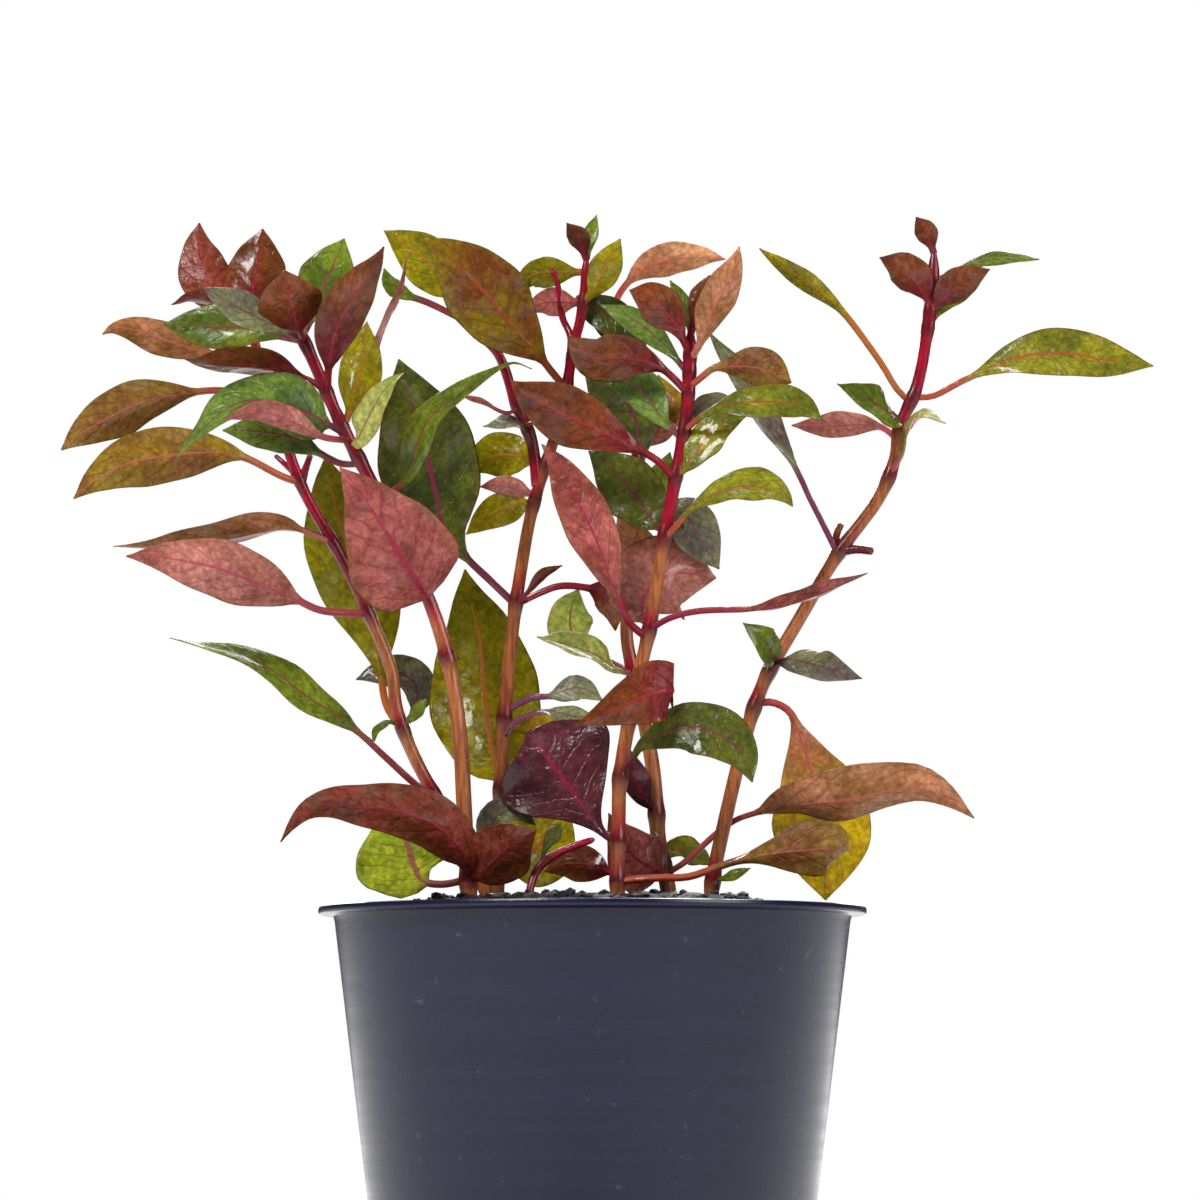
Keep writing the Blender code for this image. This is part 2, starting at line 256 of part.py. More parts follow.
# Small leaves fused to their stem, in the same form
SMALL_LEAVES = [
    ("a", 5.4, 180, 178, 10, 0.16, 0.5, [
        (-34.6, 109.2, 4.5), (-37.0, 110.8, 7.0), (-38.9, 113.0, 9.0), (-39.7, 116.0, 10.0),
        (-39.6, 118.6, 10.4)]),
    ("a", 6.0, 180, 180, 8, 0.12, 0.5, [
        (-34.5, 109.0, 4.5), (-34.2, 111.5, 6.5), (-33.7, 114.5, 7.8), (-33.2, 118.0, 8.4)]),
    ("b", 3.8, 18, 6, 8, 0.3, 0.5, [
        (-23.3, 94.4, -7.0), (-25.4, 94.3, -6.0), (-28.0, 95.6, -5.8), (-31.0, 97.0, -6.2),
        (-34.3, 97.5, -6.8), (-37.2, 97.6, -7.2)]),
    ("b", 4.2, 10, 40, 14, 0.14, 0.55, [
        (-29.4, 107.0, -7.0), (-31.0, 107.7, -8.2), (-34.0, 109.1, -9.0), (-37.0, 110.7, -9.6),
        (-39.2, 112.1, -10.0)]),
    ("b", 5.6, 4, 0, 8, 0.16, 0.55, [
        (-29.3, 107.0, -7.0), (-28.2, 109.2, -4.8), (-27.3, 111.7, -3.6), (-26.1, 114.4, -3.0),
        (-25.0, 117.0, -2.8)]),
    ("b", 4.4, 180, 178, 8, 0.16, 0.5, [
        (-25.1, 98.0, -7.0), (-23.8, 101.5, -4.4), (-23.1, 105.0, -3.6), (-22.7, 108.6, -3.2)]),
    ("c", 2.8, 45, 35, 12, 0.5, 0.5, [
        (-8.9, 67.0, 0.0), (-7.8, 68.2, -2.0), (-5.8, 69.1, -3.0), (-4.2, 69.2, -3.5),
        (-2.0, 68.7, -4.0), (0.8, 68.2, -4.4)]),
    ("c", 3.2, 150, 155, 10, 0.58, 0.42, [
        (-7.6, 80.4, 0.0), (-5.3, 81.2, -0.4), (-3.3, 81.9, -0.6), (-1.0, 81.8, -0.7), (0.9, 81.2, -0.7),
        (2.0, 79.5, -0.6), (2.3, 77.4, -0.5)]),
    ("c", 3.6, 160, 170, 14, 0.12, 0.5, [
        (-5.8, 90.2, 0.0), (-7.2, 90.3, 2.6), (-9.0, 89.6, 4.2), (-10.6, 88.8, 5.2), (-12.7, 87.1, 6.0)]),
    ("f", 4.8, 0, 4, 8, 0.16, 0.5, [
        (7.3, 87.0, -9.0), (8.3, 89.0, -6.9), (9.5, 88.9, -5.4), (10.9, 86.5, -4.4), (12.7, 83.6, -3.8)]),
    ("f", 4.0, 20, 30, 10, 0.1, 0.5, [
        (8.4, 93.0, -9.0), (9.8, 94.4, -9.9), (11.1, 96.2, -9.8), (12.8, 98.0, -9.6), (15.4, 99.0, -9.4)]),
    ("f", 2.9, 20, 16, 10, 0.16, 0.55, [
        (9.7, 103.2, -9.0), (8.3, 105.0, -7.4), (6.3, 107.0, -6.8), (3.8, 108.9, -6.4),
        (0.8, 110.3, -6.0)]),
    ("g", 3.7, 150, 152, 10, 0.4, 0.45, [
        (2.7, 105.6, 4.0), (2.0, 108.5, 4.6), (2.6, 111.2, 4.8), (4.8, 113.7, 4.4),
        (7.8, 114.9, 4.0), (11.3, 115.2, 3.4), (13.4, 114.9, 3.0)]),
    ("h", 5.0, 34, 40, 12, 0.1, 0.38, [
        (31.0, 98.6, -3.0), (29.6, 99.5, -6.0), (27.4, 100.8, -8.0), (24.6, 102.3, -9.5)]),
    ("a", 3.4, 120, 110, 16, 0.1, 0.5, [
        (-34.5, 109.0, 4.5), (-37.5, 110.3, 2.6), (-40.0, 111.0, 1.6), (-42.4, 110.3, 1.4)]),
    ("a", 1.6, 40, 60, 10, 0.2, 0.5, [
        (-19.3, 67.8, 4.5), (-20.4, 68.2, 3.2), (-21.6, 67.3, 2.4), (-22.0, 65.9, 2.2)]),
    ("a", 1.6, 30, 20, 10, 0.2, 0.5, [
        (-18.9, 67.6, 4.5), (-17.9, 68.9, 3.6), (-16.6, 70.6, 3.2)]),
    ("b", 2.7, 158, 160, 12, 0.34, 0.5, [
        (-24.9, 96.3, -7.0), (-27.3, 97.0, -12.4), (-30.3, 98.6, -15.5), (-33.3, 99.5, -16.7),
        (-37.0, 98.8, -17.0)]),
    ("b", 2.2, 20, 20, 10, 0.1, 0.5, [
        (-30.0, 108.2, -7.0), (-30.8, 110.6, -7.4), (-32.2, 112.4, -7.6)]),
    ("b", 2.6, 100, 110, 12, 0.2, 0.5, [
        (-25.6, 98.6, -7.0), (-24.6, 99.4, -3.6), (-22.3, 103.2, -1.2), (-21.4, 106.8, -0.6),
        (-20.3, 109.5, -2.2), (-19.2, 112.0, -3.0), (-18.7, 115.6, -3.4)]),
    ("c", 1.2, 150, 150, 10, 0.3, 0.5, [
        (-7.5, 80.2, 0.0), (-6.2, 81.6, -2.0), (-5.0, 83.1, -2.6), (-3.0, 84.0, -3.0)]),
    ("c", 3.0, 30, 24, 10, 0.46, 0.45, [
        (-8.6, 68.9, 0.0), (-6.3, 70.6, -0.6), (-4.0, 70.9, -1.0), (-1.3, 71.6, -1.4), (1.0, 70.4, -1.6)]),
    ("c", 4.8, 176, 174, 10, 0.16, 0.5, [
        (-5.0, 93.8, 0.0), (-7.0, 94.9, 2.4), (-9.4, 95.1, 3.4), (-11.3, 94.4, 4.2),
        (-12.5, 93.0, 4.8)]),
    ("e", 3.2, 44, 56, 16, 0.1, 0.4, [
        (-6.5, 97.6, 0.0), (-7.8, 98.2, -1.6), (-9.3, 98.1, -2.6), (-11.0, 98.0, -3.0)]),
    ("e", 2.4, 50, 40, 16, 0.1, 0.4, [
        (-6.6, 97.8, 0.0), (-5.6, 98.3, -2.2), (-4.5, 97.2, -3.4)]),
    ("e", 1.2, 120, 120, 10, 0.5, 0.5, [
        (-7.6, 99.9, 0.0), (-8.8, 99.4, -2.4), (-11.0, 100.4, -4.0), (-13.4, 101.2, -5.0)]),
    ("e", 2.0, 20, 20, 10, 0.56, 0.5, [
        (-12.4, 108.5, 0.0), (-16.3, 110.4, -0.6), (-19.0, 111.4, -0.8), (-20.4, 112.4, -1.0),
        (-21.0, 114.0, -1.2)]),
    ("c", 3.0, 174, 170, 10, 0.1, 0.5, [
        (-3.1, 110.6, 2.0), (-4.8, 110.5, 3.0), (-6.6, 109.4, 3.8)]),
    ("c", 3.2, 176, 176, 10, 0.1, 0.5, [
        (-3.9, 113.4, 2.0), (-5.8, 113.4, 3.4), (-7.6, 111.4, 4.6)]),
    ("c", 3.3, 178, 178, 10, 0.1, 0.5, [
        (-0.9, 110.2, 0.0), (0.2, 111.9, -1.2), (1.3, 114.0, -2.0), (2.8, 117.0, -2.6)]),
    ("c", 2.4, 160, 150, 10, 0.1, 0.5, [
        (-0.6, 115.0, 0.0), (-1.4, 117.0, -1.0), (-2.6, 118.6, -1.8)]),
    ("c", 2.0, 20, 40, 10, 0.1, 0.5, [
        (-0.6, 115.0, 0.0), (-0.2, 117.4, 0.8), (0.4, 119.4, 1.2)]),
    ("f", 2.5, 176, 176, 10, 0.1, 0.55, [
        (9.9, 107.4, -9.0), (10.6, 110.0, -9.0), (11.8, 113.3, -8.8)]),
    ("f", 1.9, 20, 20, 10, 0.1, 0.5, [
        (9.9, 107.6, -9.0), (9.1, 110.2, -8.4), (7.8, 112.8, -8.0)]),
    ("f", 2.6, 178, 178, 10, 0.1, 0.5, [
        (9.2, 97.4, -9.0), (8.5, 99.4, -6.4), (7.5, 101.4, -5.2), (6.6, 103.2, -4.8)]),
    ("f", 2.2, 30, 30, 10, 0.1, 0.5, [
        (9.4, 98.0, -9.0), (10.8, 99.8, -7.6), (12.3, 100.8, -7.0), (14.0, 101.0, -6.8)]),
    ("g", 2.8, 176, 176, 10, 0.1, 0.5, [
        (6.2, 59.0, 4.0), (5.2, 60.6, 2.4), (4.4, 62.6, 1.6), (3.8, 65.4, 1.2)]),
    ("g", 3.4, 30, 30, 10, 0.1, 0.5, [
        (7.0, 54.6, 4.0), (8.5, 55.4, 6.0), (10.3, 55.0, 6.8), (12.0, 53.9, 7.2)]),
    ("g", 4.4, 176, 176, 10, 0.1, 0.5, [
        (3.7, 81.6, 4.0), (4.8, 83.5, 1.5), (4.5, 85.5, 0.0), (3.5, 87.3, -1.0), (2.5, 89.0, -1.6)]),
    ("g", 3.3, 0, 0, 10, 0.1, 0.5, [
        (4.4, 89.0, 4.0), (6.0, 91.0, 2.0), (7.0, 93.0, 0.8), (7.8, 95.4, 0.2)]),
    ("g", 3.1, 178, 178, 10, 0.1, 0.5, [
        (4.5, 95.8, 4.0), (6.5, 97.4, 3.0), (7.4, 99.4, 2.4), (7.9, 101.6, 2.2)]),
    ("g", 4.2, 14, 14, 10, 0.1, 0.5, [
        (3.4, 102.6, 4.0), (4.2, 105.4, 3.4), (2.6, 108.0, 3.2), (0.2, 110.2, 3.6),
        (-1.6, 111.2, 4.0)]),
    ("h", 4.0, 30, 24, 10, 0.1, 0.4, [
        (17.6, 73.4, -3.0), (17.9, 74.8, -5.0), (17.3, 76.2, -7.4), (15.1, 78.2, -9.0)]),
    ("h", 3.0, 150, 150, 10, 0.26, 0.5, [
        (30.5, 96.8, -3.0), (29.4, 97.7, -0.6), (28.0, 98.2, 0.8), (25.8, 98.2, 1.8), (23.0, 98.0, 2.6),
        (20.0, 98.1, 3.2)]),
    ("h", 3.4, 70, 70, 14, 0.24, 0.5, [
        (29.6, 93.0, -3.0), (31.0, 95.2, -4.6), (31.8, 97.6, -5.8), (33.2, 99.0, -7.4),
        (35.5, 98.3, -8.8)]),
    ("h", 3.6, 165, 160, 12, 0.1, 0.45, [
        (33.9, 109.4, -3.0), (35.8, 111.5, -4.4), (37.8, 113.0, -5.4), (40.0, 113.9, -6.4)]),
    ("h", 3.0, 20, 20, 10, 0.1, 0.5, [
        (33.8, 108.6, -3.0), (35.8, 110.9, -1.2), (37.8, 112.5, 0.0), (39.7, 113.8, 0.6)]),
    ("h", 2.6, 50, 50, 12, 0.2, 0.5, [
        (34.2, 112.6, -3.0), (37.8, 114.2, -3.8), (41.0, 114.9, -4.4), (45.0, 114.9, -4.8)]),
    ("h", 2.4, 160, 160, 10, 0.1, 0.5, [
        (34.4, 115.6, -3.0), (33.6, 117.6, -3.8), (32.6, 119.2, -4.4)]),
    ("h", 1.2, 20, 20, 10, 0.2, 0.5, [
        (12.0, 52.4, -3.0), (13.8, 52.8, -4.4), (15.8, 53.6, -5.0)]),
    ("a", 4.6, 16, 24, 10, 0.2, 0.5, [
        (-18.9, 67.7, 4.5), (-17.8, 69.4, 7.5), (-17.8, 71.9, 10.3), (-19.6, 73.2, 11.6),
        (-21.9, 73.1, 12.0), (-23.7, 72.5, 12.2)]),
    ("c", 3.4, 0, 10, 10, 0.2, 0.5, [
        (-9.6, 52.8, 0.0), (-10.3, 55.6, -2.6), (-9.7, 58.6, -3.6), (-7.7, 59.4, -3.8),
        (-5.7, 57.9, -4.0)]),
    ("c", 2.8, 176, 176, 10, 0.2, 0.5, [
        (-8.9, 67.4, 0.0), (-7.2, 67.6, 2.4), (-4.8, 68.1, 3.2), (-2.4, 68.0, 3.4), (-0.6, 67.0, 3.6)]),
    ("g", 4.7, 6, 0, 8, 0.44, 0.5, [
        (4.1, 73.2, 4.0), (2.2, 74.0, 5.8), (-0.2, 75.2, 6.6), (-2.0, 77.0, 6.8), (-2.2, 79.4, 6.8),
        (-1.4, 81.6, 6.6)]),
    ("f", 3.8, 176, 172, 10, 0.16, 0.5, [
        (2.5, 53.0, -9.0), (1.2, 53.4, -7.2), (-0.8, 54.0, -6.2), (-2.8, 54.0, -5.8), (-4.8, 53.3, -5.6)]),
    ("c", 2.4, 150, 150, 10, 0.1, 0.5, [
        (-5.9, 90.9, 0.0), (-7.4, 91.7, 1.6), (-9.4, 92.0, 2.2), (-11.3, 91.9, 2.6)]),
    ("stalk", 1.6, 0, 0, 10, 0.2, 0.62, [
        (-5.0, 54.0, -9.8), (-4.7, 55.6, -9.9), (-3.9, 57.0, -10.0), (-3.1, 58.2, -10.0)]),
]


def clear_scene():
    for old in list(bpy.data.objects):
        bpy.data.objects.remove(old, do_unlink=True)


def material(name):
    made = bpy.data.materials.get(name)
    if made:
        return made
    colour, rough = COLOURS[name]
    made = bpy.data.materials.new(name)
    made.use_nodes = True
    shader = made.node_tree.nodes["Principled BSDF"]
    shader.inputs["Base Color"].default_value = colour
    shader.inputs["Roughness"].default_value = rough
    made.diffuse_color = colour
    return made


def front(x, z, depth):
    """Place a point that is seen at x, z when it lies this far behind the middle."""
    grow = (VIEW_DISTANCE + depth) / VIEW_DISTANCE
    return Vector((EYE_SIDE + (x - EYE_SIDE) * grow, depth, EYE_HEIGHT + (z - EYE_HEIGHT) * grow))


def smooth_line(points):
    """Close-set points along a smooth curve through the given ones."""
    pts = [front(*p) for p in points]
    ends = [2 * pts[0] - pts[1]] + pts + [2 * pts[-1] - pts[-2]]
    line = []
    for i in range(1, len(ends) - 2):
        a, b, c, d = ends[i - 1:i + 3]
        for k in range(PATH_STEPS):
            t = k / PATH_STEPS
            line.append(0.5 * (2 * b + (c - a) * t + (2 * a - 5 * b + 4 * c - d) * t * t
                               + (3 * b - a - 3 * c + d) * t ** 3))
    line.append(pts[-1])
    return line


def lengths(line):
    run = [0.0]
    for a, b in zip(line, line[1:]):
        run.append(run[-1] + (b - a).length)
    return run


def at_share(line, run, share):
    """Point and direction at a share of the line's length."""
    want = share * run[-1]
    i = 0
    while i < len(line) - 2 and run[i + 1] < want:
        i += 1
    step = (line[i + 1] - line[i])
    part = (want - run[i]) / max(run[i + 1] - run[i], 1e-9)
    before = line[max(i - 1, 0)]
    after = line[min(i + 2, len(line) - 1)]
    return line[i] + step * part, (after - before).normalized()


def make_object(name, rings, tone, smooth=True):
    """A closed body from rings of points, each ring joined to the next, with capped ends."""
    mesh = bpy.data.meshes.new(name)
    bm = bmesh.new()
    made = [[bm.verts.new(p * MM) for p in ring] for ring in rings]
    count = len(made[0])
    for lower, upper in zip(made, made[1:]):
        for k in range(count):
            n = (k + 1) % count
            bm.faces.new((lower[k], lower[n], upper[n], upper[k]))
    bm.faces.new(made[0][::-1])
    bm.faces.new(made[-1])
    bmesh.ops.triangulate(bm, faces=bm.faces[:])
    bmesh.ops.recalc_face_normals(bm, faces=bm.faces[:])
    bm.to_mesh(mesh)
    bm.free()
    if smooth:
        mesh.shade_smooth()
        mesh.set_sharp_from_angle(angle=math.radians(50))
    mesh.materials.append(material(tone))
    made_object = bpy.data.objects.new(name, mesh)
    bpy.context.scene.collection.objects.link(made_object)
    return made_object


def helper(made_object):
    made_object.hide_render = True
    made_object.display_type = "WIRE"
    return made_object


def tube_rings(points, foot, top, sections, sides=STEM_SIDES, grow=0.0, start=0.0):
    line = smooth_line(points)
    run = lengths(line)
    rings = []
    for s in range(sections):
        share = start + (1 - start) * s / (sections - 1)
        centre, along = at_share(line, run, share)
        across = along.cross(Vector((0, 1, 0))).normalized()
        other = along.cross(across).normalized()
        radius = foot + (top - foot) * share + grow
        if s == sections - 1 and not grow:
            radius *= 0.6
        rings.append([centre + radius * (across * math.cos(2 * math.pi * k / sides)
                                         + other * math.sin(2 * math.pi * k / sides))
                      for k in range(sides)])
    return rings


def blade_width(s, belly):
    """Share of the full half width at place s along the blade."""
    place = max(0.0, min(1.0, s)) ** (math.log(0.5) / math.log(belly))
    return math.sin(math.pi * place)


def leaf_rings(row, stem_line=None, stem_radius=0.0, sections=5, around=6):
    width, roll_base, roll_tip, fold, petiole, belly, points = row
    line = smooth_line(points)
    run = lengths(line)
    chord = line[-1] - line[0]
    side = 1.0 if chord.x >= 0 else -1.0
    chord_side = Vector((chord.x, 0, chord.z)).normalized()
    fold = math.radians(fold)

    def ring(share):
        centre, along = at_share(line, run, share)
        flat = Vector((along.x, 0, along.z)) + 0.25 * chord_side
        flat.normalize()
        up = side * Vector((-flat.z, 0, flat.x))
        roll = math.radians(roll_base + (roll_tip - roll_base) * share)
        normal = up * math.sin(roll) - Vector((0, 1, 0)) * math.cos(roll)
        normal = (normal - along * normal.dot(along)).normalized()
        across = along.cross(normal).normalized()
        s = (share - petiole) / (1 - petiole)
        half = width / 2 * blade_width(s, belly) if s > 0 else 0.0
        blade = min(1.0, half / (width / 2) * 1.6)
        narrow = PETIOLE_HALF if s < 0.5 else TIP_HALF_WIDTH
        half = max(half, narrow)
        middle = PETIOLE_HALF * 0.85 * (1 - blade) + BLADE_HALF_THICKNESS * blade
        edge = 0.2 * (1 - blade) + BLADE_EDGE_HALF * blade
        if s >= 0.5:
            middle = min(middle, BLADE_HALF_THICKNESS)
            edge = BLADE_EDGE_HALF
        lift = math.sin(fold) * blade
        places = []
        for v in (-1, 1):
            places.append(centre + across * half * v * math.cos(fold * blade)
                          + normal * half * lift)
        left, right = places
        if around == 4:
            return [left, centre + normal * middle, right, centre - normal * middle]
        return [left + normal * edge, centre + normal * middle, right + normal * edge,
                right - normal * edge, centre - normal * middle, left - normal * edge]

    start = 0.0
    if stem_line:
        while start < 0.5:
            near = min((p - q).length for p in ring(start) for q in stem_line)
            if near > stem_radius + GAP:
                break
            start += 0.004
    shares = [start]
    if petiole > start + 0.2 and around == 6:
        shares.append((start + petiole) / 2)
    if petiole > start + 0.03:
        shares.append(petiole)
    first = max(petiole, start)
    for k in range(1, sections + 1):
        shares.append(first + (1 - first) * (k / sections) ** 0.95)
    return [ring(share) for share in shares]


def fine_line(points):
    """The stem's middle line as close-set points, for measuring clearances."""
    line = smooth_line(points)
    close = []
    for a, b in zip(line, line[1:]):
        count = max(2, int((b - a).length / 0.25))
        close += [a + (b - a) * k / count for k in range(count)]
    return close + [line[-1]]


def fork_clearance(radius, points):
    """Share of the side branch that is left out so that it starts clear of the middle stem."""
    line = smooth_line(points)
    run = lengths(line)
    trunk_foot, trunk_top, trunk_points = STEMS["c"]
    trunk = fine_line(trunk_points)
    share = 0.0
    while share < 0.6:
        centre, along = at_share(line, run, share)
        if min((centre - p).length for p in trunk) > trunk_foot + radius + GAP:
            return share
        share += 0.01
    return share


def join(base, part, operation="UNION"):
    cut = base.modifiers.new(part.name, "BOOLEAN")
    cut.operation = operation
    cut.solver = "EXACT"
    cut.object = helper(part)


def make_stems():
    made = {}
    for key, (foot, top, points) in STEMS.items():
        sections = 14 if key == "h" else 11
        start = fork_clearance(foot, points) if key == "e" else 0.0
        made[key] = make_object("stem_" + key, tube_rings(points, foot, top, sections, start=start),
                                "stem")
    foot, top, points = STALK
    made["stalk"] = make_object("stalk_j", tube_rings(points, foot, top, 7, sides=6), "stem")
    for count, (key, foot, top, points) in enumerate(BRANCHES):
        sections = 5 if len(points) > 4 else 3
        part = make_object(f"branch_{count}", tube_rings(points, foot, top, sections, sides=5), "stem")
        join(made[key], part)
    for count, row in enumerate(SMALL_LEAVES):
        part = make_object(f"small_leaf_{count}", leaf_rings(row[1:], sections=3, around=4), "stem")
        join(made[row[0]], part)
    return made


def make_leaves():
    for name, row in LEAVES.items():
        foot, top, points = STEMS[row[0]]
        rings = leaf_rings(row[2:], fine_line(points), max(foot, top) * 1.02)
        make_object(name, rings, row[1])


def lathe(name, profile, segments, tone):
    """Turn a closed profile that starts and ends on the axis."""
    mesh = bpy.data.meshes.new(name)
    bm = bmesh.new()
    verts = [bm.verts.new((r * MM, 0, z * MM)) for r, z in profile]
    edges = [bm.edges.new(pair) for pair in zip(verts, verts[1:])]
    bmesh.ops.spin(bm, geom=verts + edges, cent=(0, 0, 0), axis=(0, 0, 1), angle=2 * math.pi,
                   steps=segments, use_merge=True)
    bmesh.ops.remove_doubles(bm, verts=bm.verts[:], dist=1e-6)
    bmesh.ops.recalc_face_normals(bm, faces=bm.faces[:])
    bm.to_mesh(mesh)
    bm.free()
    mesh.shade_smooth()
    mesh.set_sharp_from_angle(angle=math.radians(40))
    mesh.materials.append(material(tone))
    made_object = bpy.data.objects.new(name, mesh)
    bpy.context.scene.collection.objects.link(made_object)
    return made_object


def make_pot():
    under = POT_HEIGHT - RIM_THICKNESS
    inner_top = WALL_RADIUS_TOP - WALL_THICKNESS
    inner_foot = WALL_RADIUS_FOOT - WALL_THICKNESS
    profile = [
        (0, 0), (WALL_RADIUS_FOOT - 0.5, 0), (WALL_RADIUS_FOOT, 0.5),
        (WALL_RADIUS_TOP, under - 0.2), (RIM_RADIUS - 0.2, under), (RIM_RADIUS, under + 0.25),
        (RIM_RADIUS, POT_HEIGHT - 0.25), (RIM_RADIUS - 0.25, POT_HEIGHT), (inner_top, POT_HEIGHT),
        (inner_foot, FLOOR_THICKNESS), (0, FLOOR_THICKNESS),
    ]
    pot = lathe("pot", profile, POT_SEGMENTS, "plastic")
    for k in range(DRAIN_HOLES):
        angle = 2 * math.pi * (k + 0.5) / DRAIN_HOLES
        x, y = DRAIN_RING_RADIUS * math.cos(angle), DRAIN_RING_RADIUS * math.sin(angle)
        ring = [Vector((x + DRAIN_HOLE_RADIUS * math.cos(2 * math.pi * n / 8),
                        y + DRAIN_HOLE_RADIUS * math.sin(2 * math.pi * n / 8), 0)) for n in range(8)]
        low = [p + Vector((0, 0, -1)) for p in ring]
        high = [p + Vector((0, 0, FLOOR_THICKNESS + 1)) for p in ring]
        join(pot, make_object(f"drain_{k}", [low, high], "plastic"), "DIFFERENCE")
    return pot


def make_soil():
    """The plug of growing medium: a lumpy top on a tapered body."""
    inner_top = WALL_RADIUS_TOP - WALL_THICKNESS
    inner_foot = WALL_RADIUS_FOOT - WALL_THICKNESS
    slope = (inner_top - inner_foot) / (POT_HEIGHT - FLOOR_THICKNESS)
    low = FLOOR_THICKNESS + GAP
    top_radius = inner_foot + (SOIL_EDGE_HEIGHT - FLOOR_THICKNESS) * slope - GAP * 1.6
    low_radius = inner_foot + (low - FLOOR_THICKNESS) * slope - GAP * 1.6
    mesh = bpy.data.meshes.new("growing_medium")
    bm = bmesh.new()
    rings = []
    for r in range(1, SOIL_RINGS + 1):
        share = r / SOIL_RINGS
        ring = []
        for k in range(SOIL_SEGMENTS):
            angle = 2 * math.pi * (k + 0.5 * (r % 2)) / SOIL_SEGMENTS
            x, y = top_radius * share * math.cos(angle), top_radius * share * math.sin(angle)
            lump = math.sin(0.61 * x + 1.3) * math.cos(0.73 * y) + 0.5 * math.sin(1.7 * x + 0.9 * y)
            mound = SOIL_MOUND * min(1.0, 2.6 * (1 - share))
            height = SOIL_EDGE_HEIGHT + mound + SOIL_RELIEF * lump * (1 if r < SOIL_RINGS else 0.3)
            ring.append(bm.verts.new((x * MM, y * MM, height * MM)))
        rings.append(ring)
    bottom = [bm.verts.new((low_radius * math.cos(2 * math.pi * k / SOIL_SEGMENTS) * MM,
                            low_radius * math.sin(2 * math.pi * k / SOIL_SEGMENTS) * MM, low * MM))
              for k in range(SOIL_SEGMENTS)]
    rings.append(bottom)
    middle = bm.verts.new((0, 0, (SOIL_EDGE_HEIGHT + SOIL_MOUND) * MM))
    for k in range(SOIL_SEGMENTS):
        n = (k + 1) % SOIL_SEGMENTS
        bm.faces.new((middle, rings[0][k], rings[0][n]))
        for inner, outer in zip(rings, rings[1:]):
            bm.faces.new((inner[k], outer[k], outer[n], inner[n]))
    bm.faces.new(bottom[::-1])
    bmesh.ops.triangulate(bm, faces=bm.faces[:])
    bmesh.ops.recalc_face_normals(bm, faces=bm.faces[:])
    bm.to_mesh(mesh)
    bm.free()
    mesh.materials.append(material("soil"))
    soil = bpy.data.objects.new("growing_medium", mesh)
    bpy.context.scene.collection.objects.link(soil)

    stands = dict(STEMS)
    stands["stalk"] = STALK
    for key, (foot, top, points) in stands.items():
        if key == "e":
            continue
        first, second = Vector(points[0]), Vector(points[1])
        path = [tuple(2 * first - second)] + list(points[:4])
        run = lengths(smooth_line(path))
        start = (run[PATH_STEPS] - (STEM_BOTTOM - SOCKET_BOTTOM)) / run[-1]
        rings = tube_rings(path, foot, foot, 4, grow=0.46, start=start)
        join(soil, make_object("socket_" + key, rings, "soil"), "DIFFERENCE")
    return soil


clear_scene()
make_pot()
make_soil()
make_stems()
make_leaves()
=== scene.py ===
import math

import bmesh
import bpy
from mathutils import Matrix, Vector


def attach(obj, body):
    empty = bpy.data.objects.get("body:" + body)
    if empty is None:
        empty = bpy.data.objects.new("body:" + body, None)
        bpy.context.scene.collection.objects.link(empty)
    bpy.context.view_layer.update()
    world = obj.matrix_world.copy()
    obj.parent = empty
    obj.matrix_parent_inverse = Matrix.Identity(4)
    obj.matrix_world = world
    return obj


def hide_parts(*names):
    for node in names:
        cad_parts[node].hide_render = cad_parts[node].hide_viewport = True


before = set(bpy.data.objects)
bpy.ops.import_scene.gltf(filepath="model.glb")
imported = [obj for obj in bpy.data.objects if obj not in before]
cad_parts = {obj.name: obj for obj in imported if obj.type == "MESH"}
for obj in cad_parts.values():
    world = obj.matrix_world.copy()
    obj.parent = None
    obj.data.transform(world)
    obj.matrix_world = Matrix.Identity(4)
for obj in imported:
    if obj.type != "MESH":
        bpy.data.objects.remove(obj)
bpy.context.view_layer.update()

# Potted aquarium plant: six leafy stems in a small dark pot.
# Lengths in the tables are millimetres, seen from the front: across, height, depth behind the middle.

mm = 0.001

camera = {
    "distance": 700.0,      # from the middle of the pot
    "height": 26.0,
    "side": 0.75,
    "aimHeight": 80.5,
    "lens": 210.0,
    "sensorWidth": 36.0,
}

pot = {
    "height": 49.7,
    "rimRadius": 27.4,
    "rimThickness": 0.8,
    "wallRadiusTop": 25.8,
    "wallRadiusFoot": 20.0,
    "wallThickness": 1.1,
    "floorThickness": 1.5,
    "segments": 144,
    "drainHoles": 5,
    "drainHoleRadius": 2.0,
    "drainRingRadius": 12.0,
    "colour": (11, 12, 36),
    "highlight": (20, 22, 48),
    "dust": (150, 150, 158),
    "specular": 0.3,
    "bump": 0.25,
}

medium = {
    "edgeHeight": 48.9,
    "mound": 1.5,
    "radius": 24.1,
    "footRadius": 18.5,
    "foot": 1.9,
    "relief": 0.35,
    "segments": 120,
    "colour": (9, 8, 11),
    "fleck": (46, 42, 48),
    "grit": (27, 24, 27),
    "specular": 0.25,
    "bump": 0.8,
}

crumbs = {
    "count": 620,
    "seed": 2718,
    "reach": 23.4,
    "smallest": 0.25,
    "sizeRange": 0.5,
    "paleShare": 0.16,
}

leafShape = {
    "steps": (34, 20),      # along and around
    "smallSteps": (22, 14),
    "smallWidth": 3.5,      # leaves up to this width have the small steps
    "petioleHalf": 0.38,
    "tipHalf": 0.07,
    "bladeHalfThickness": 0.17,
    "edgeHalfThickness": 0.05,
    "wave": 0.055,          # share of the half width
    "cup": 0.07,
}

